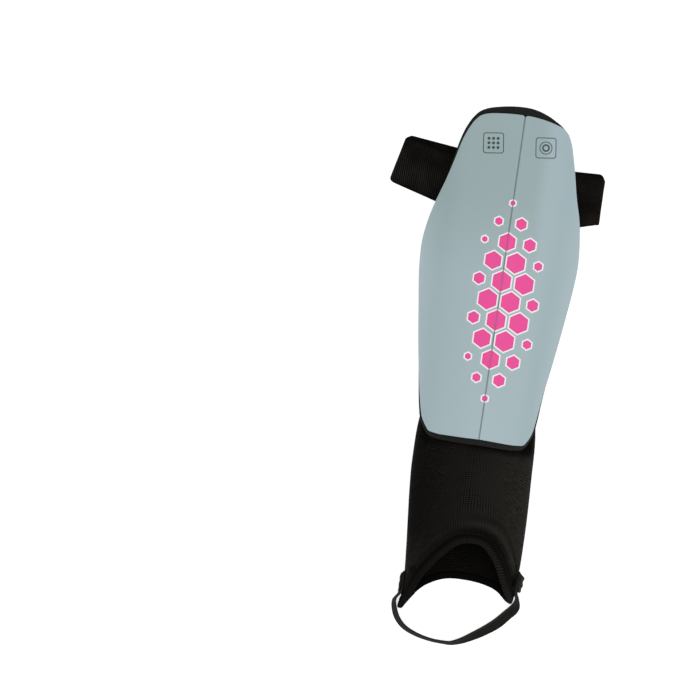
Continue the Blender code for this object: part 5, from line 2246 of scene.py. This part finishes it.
    def build_tacks(self) -> bpy.types.Object:
        """Model the sewn squares: close rows of thread on the knit beside each tab.

        Returns:
            All the threads as one piece.
        """
        wide, long = self.tack_size
        pattern = Bench.thread("tack_thread", self.thread_radius, wide)
        sleeve, count = self.sleeve, self.thread_count
        lift = np.full(count, 1.3 * self.thread_radius)
        along = np.array((0.0, 1.0, 0.0))
        frames = []
        for turn, middle, rise in zip(
                self.tack_turns, (self.left_middle, self.right_middle), self.tack_rises):
            rows = middle + rise + np.linspace(-0.5, 0.5, count) * long
            angle = np.full(count, math.radians(turn))
            here = sleeve.face(angle, rows, lift)
            beside = sleeve.face(angle - 0.02, rows, lift)
            for at, near in zip(here, beside):
                across = unit(near - at)
                frames.append(frame_at(
                    across, along, np.cross(across, along), sleeve.form.placed(at)))
        return Bench.copies(pattern, "tab_tacks", frames)

    def dress(self) -> None:
        """Build the band and its ends, and give them their elastic."""
        elastic = CordedElastic(self.width).make()
        settle(self.build_band(), elastic, Slot.STIRRUP, "stirrup")
        # The right tab gets a lighter thread than the left: painted light on the right tab,
        # painted shade on the left one.
        for side, middle, thread in (
            (Side.LEFT, self.left_middle, linear(56, 55, 51)),
            (Side.RIGHT, self.right_middle, linear(92, 90, 85)),
        ):
            fold = FineKnit(f"tab_weave_painted_shading_{side.value}", 0.0, thread=thread, toned=False).make()
            node = f"stirrup_tab_{side.value}"
            settle(self.build_tab(side, middle), fold, Slot.STIRRUP, node)
        settle(self.build_tacks(), SpunThread().make(), Slot.STIRRUP)


@dataclass
class Studio:
    """Pale floor, soft light and a camera that looks straight down."""

    form: ArchForm
    pixel: float = 0.0006594
    centre_pixel: tuple[float, float] = (478.9, 437.4)
    turn: float = 8.217
    frame_size: int = 700
    distance: float = 10.0
    level: float = 0.020
    sky_light: float = 0.46
    floor_drop: float = 0.0002

    def make_floor(self) -> None:
        """Lay the seamless paper."""
        Bench.clear_selection()
        bpy.ops.mesh.primitive_plane_add(size=4.0, location=(0.0, 0.0, -self.floor_drop))
        floor = Bench.started("studio_floor")
        floor.data.materials.append(StudioPaper().make())

    def make_lights(self) -> None:
        """Hang wide soft lights over the guard."""
        world = bpy.data.worlds.new("studio_world")
        world.use_nodes = True
        sky = world.node_tree.nodes["Background"].inputs
        sky["Color"].default_value = (1, 1, 1, 1)
        sky["Strength"].default_value = self.sky_light
        bpy.context.scene.world = world
        for name, place, size, power in (
            ("left_softbox", (-0.95, 0.15, 1.25), (0.7, 1.8), 5.0),
            ("right_softbox", (1.00, 0.05, 1.25), (0.7, 1.8), 6.6),
            ("top_softbox", (0.1, -0.3, 1.9), (1.3, 1.3), 7.5),
        ):
            Bench.clear_selection()
            bpy.ops.object.light_add(type="AREA", location=place)
            light = bpy.context.object
            light.name = name
            light.data.shape = "RECTANGLE"
            light.data.size, light.data.size_y = size
            light.data.energy = power
            light.rotation_euler = (-Vector(place)).to_track_quat("-Z", "Y").to_euler()

    def make_camera(self) -> None:
        """Set the camera so that the guard lies in the frame as in the photograph."""
        turn = math.radians(self.turn)
        across = (self.frame_size / 2.0 - self.centre_pixel[0]) * self.pixel
        down = (self.frame_size / 2.0 - self.centre_pixel[1]) * self.pixel
        right, up = (math.cos(turn), math.sin(turn)), (-math.sin(turn), math.cos(turn))
        x = self.form.shift[0] + across * right[0] - down * up[0]
        y = self.form.shift[1] + across * right[1] - down * up[1]
        bpy.ops.object.camera_add(location=(x, y, self.distance), rotation=(0.0, 0.0, turn))
        camera = bpy.context.object
        camera.data.sensor_width = 36.0
        view = self.frame_size * self.pixel
        camera.data.lens = camera.data.sensor_width * (self.distance - self.level) / view
        camera.data.clip_end = 20.0
        bpy.context.scene.camera = camera
        bpy.context.scene.view_settings.view_transform = "Standard"

    def build(self) -> None:
        """Set up the whole studio."""
        self.make_floor()
        self.make_lights()
        self.make_camera()


def main() -> None:
    """Build and dress the guard piece by piece, then the studio round it."""
    logging.basicConfig(level=logging.INFO, format="%(name)s %(message)s")
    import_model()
    form = ArchForm()
    shell = Shell(form)
    shell.dress(shell.build())
    liner = Liner(form)
    liner.dress(liner.build())
    sleeve = AnkleSleeve(form)
    sleeve.dress()
    CalfStrap(form).dress()
    Stirrup(sleeve).dress()
    Studio(form).build()


if __name__ == "__main__":
    main()
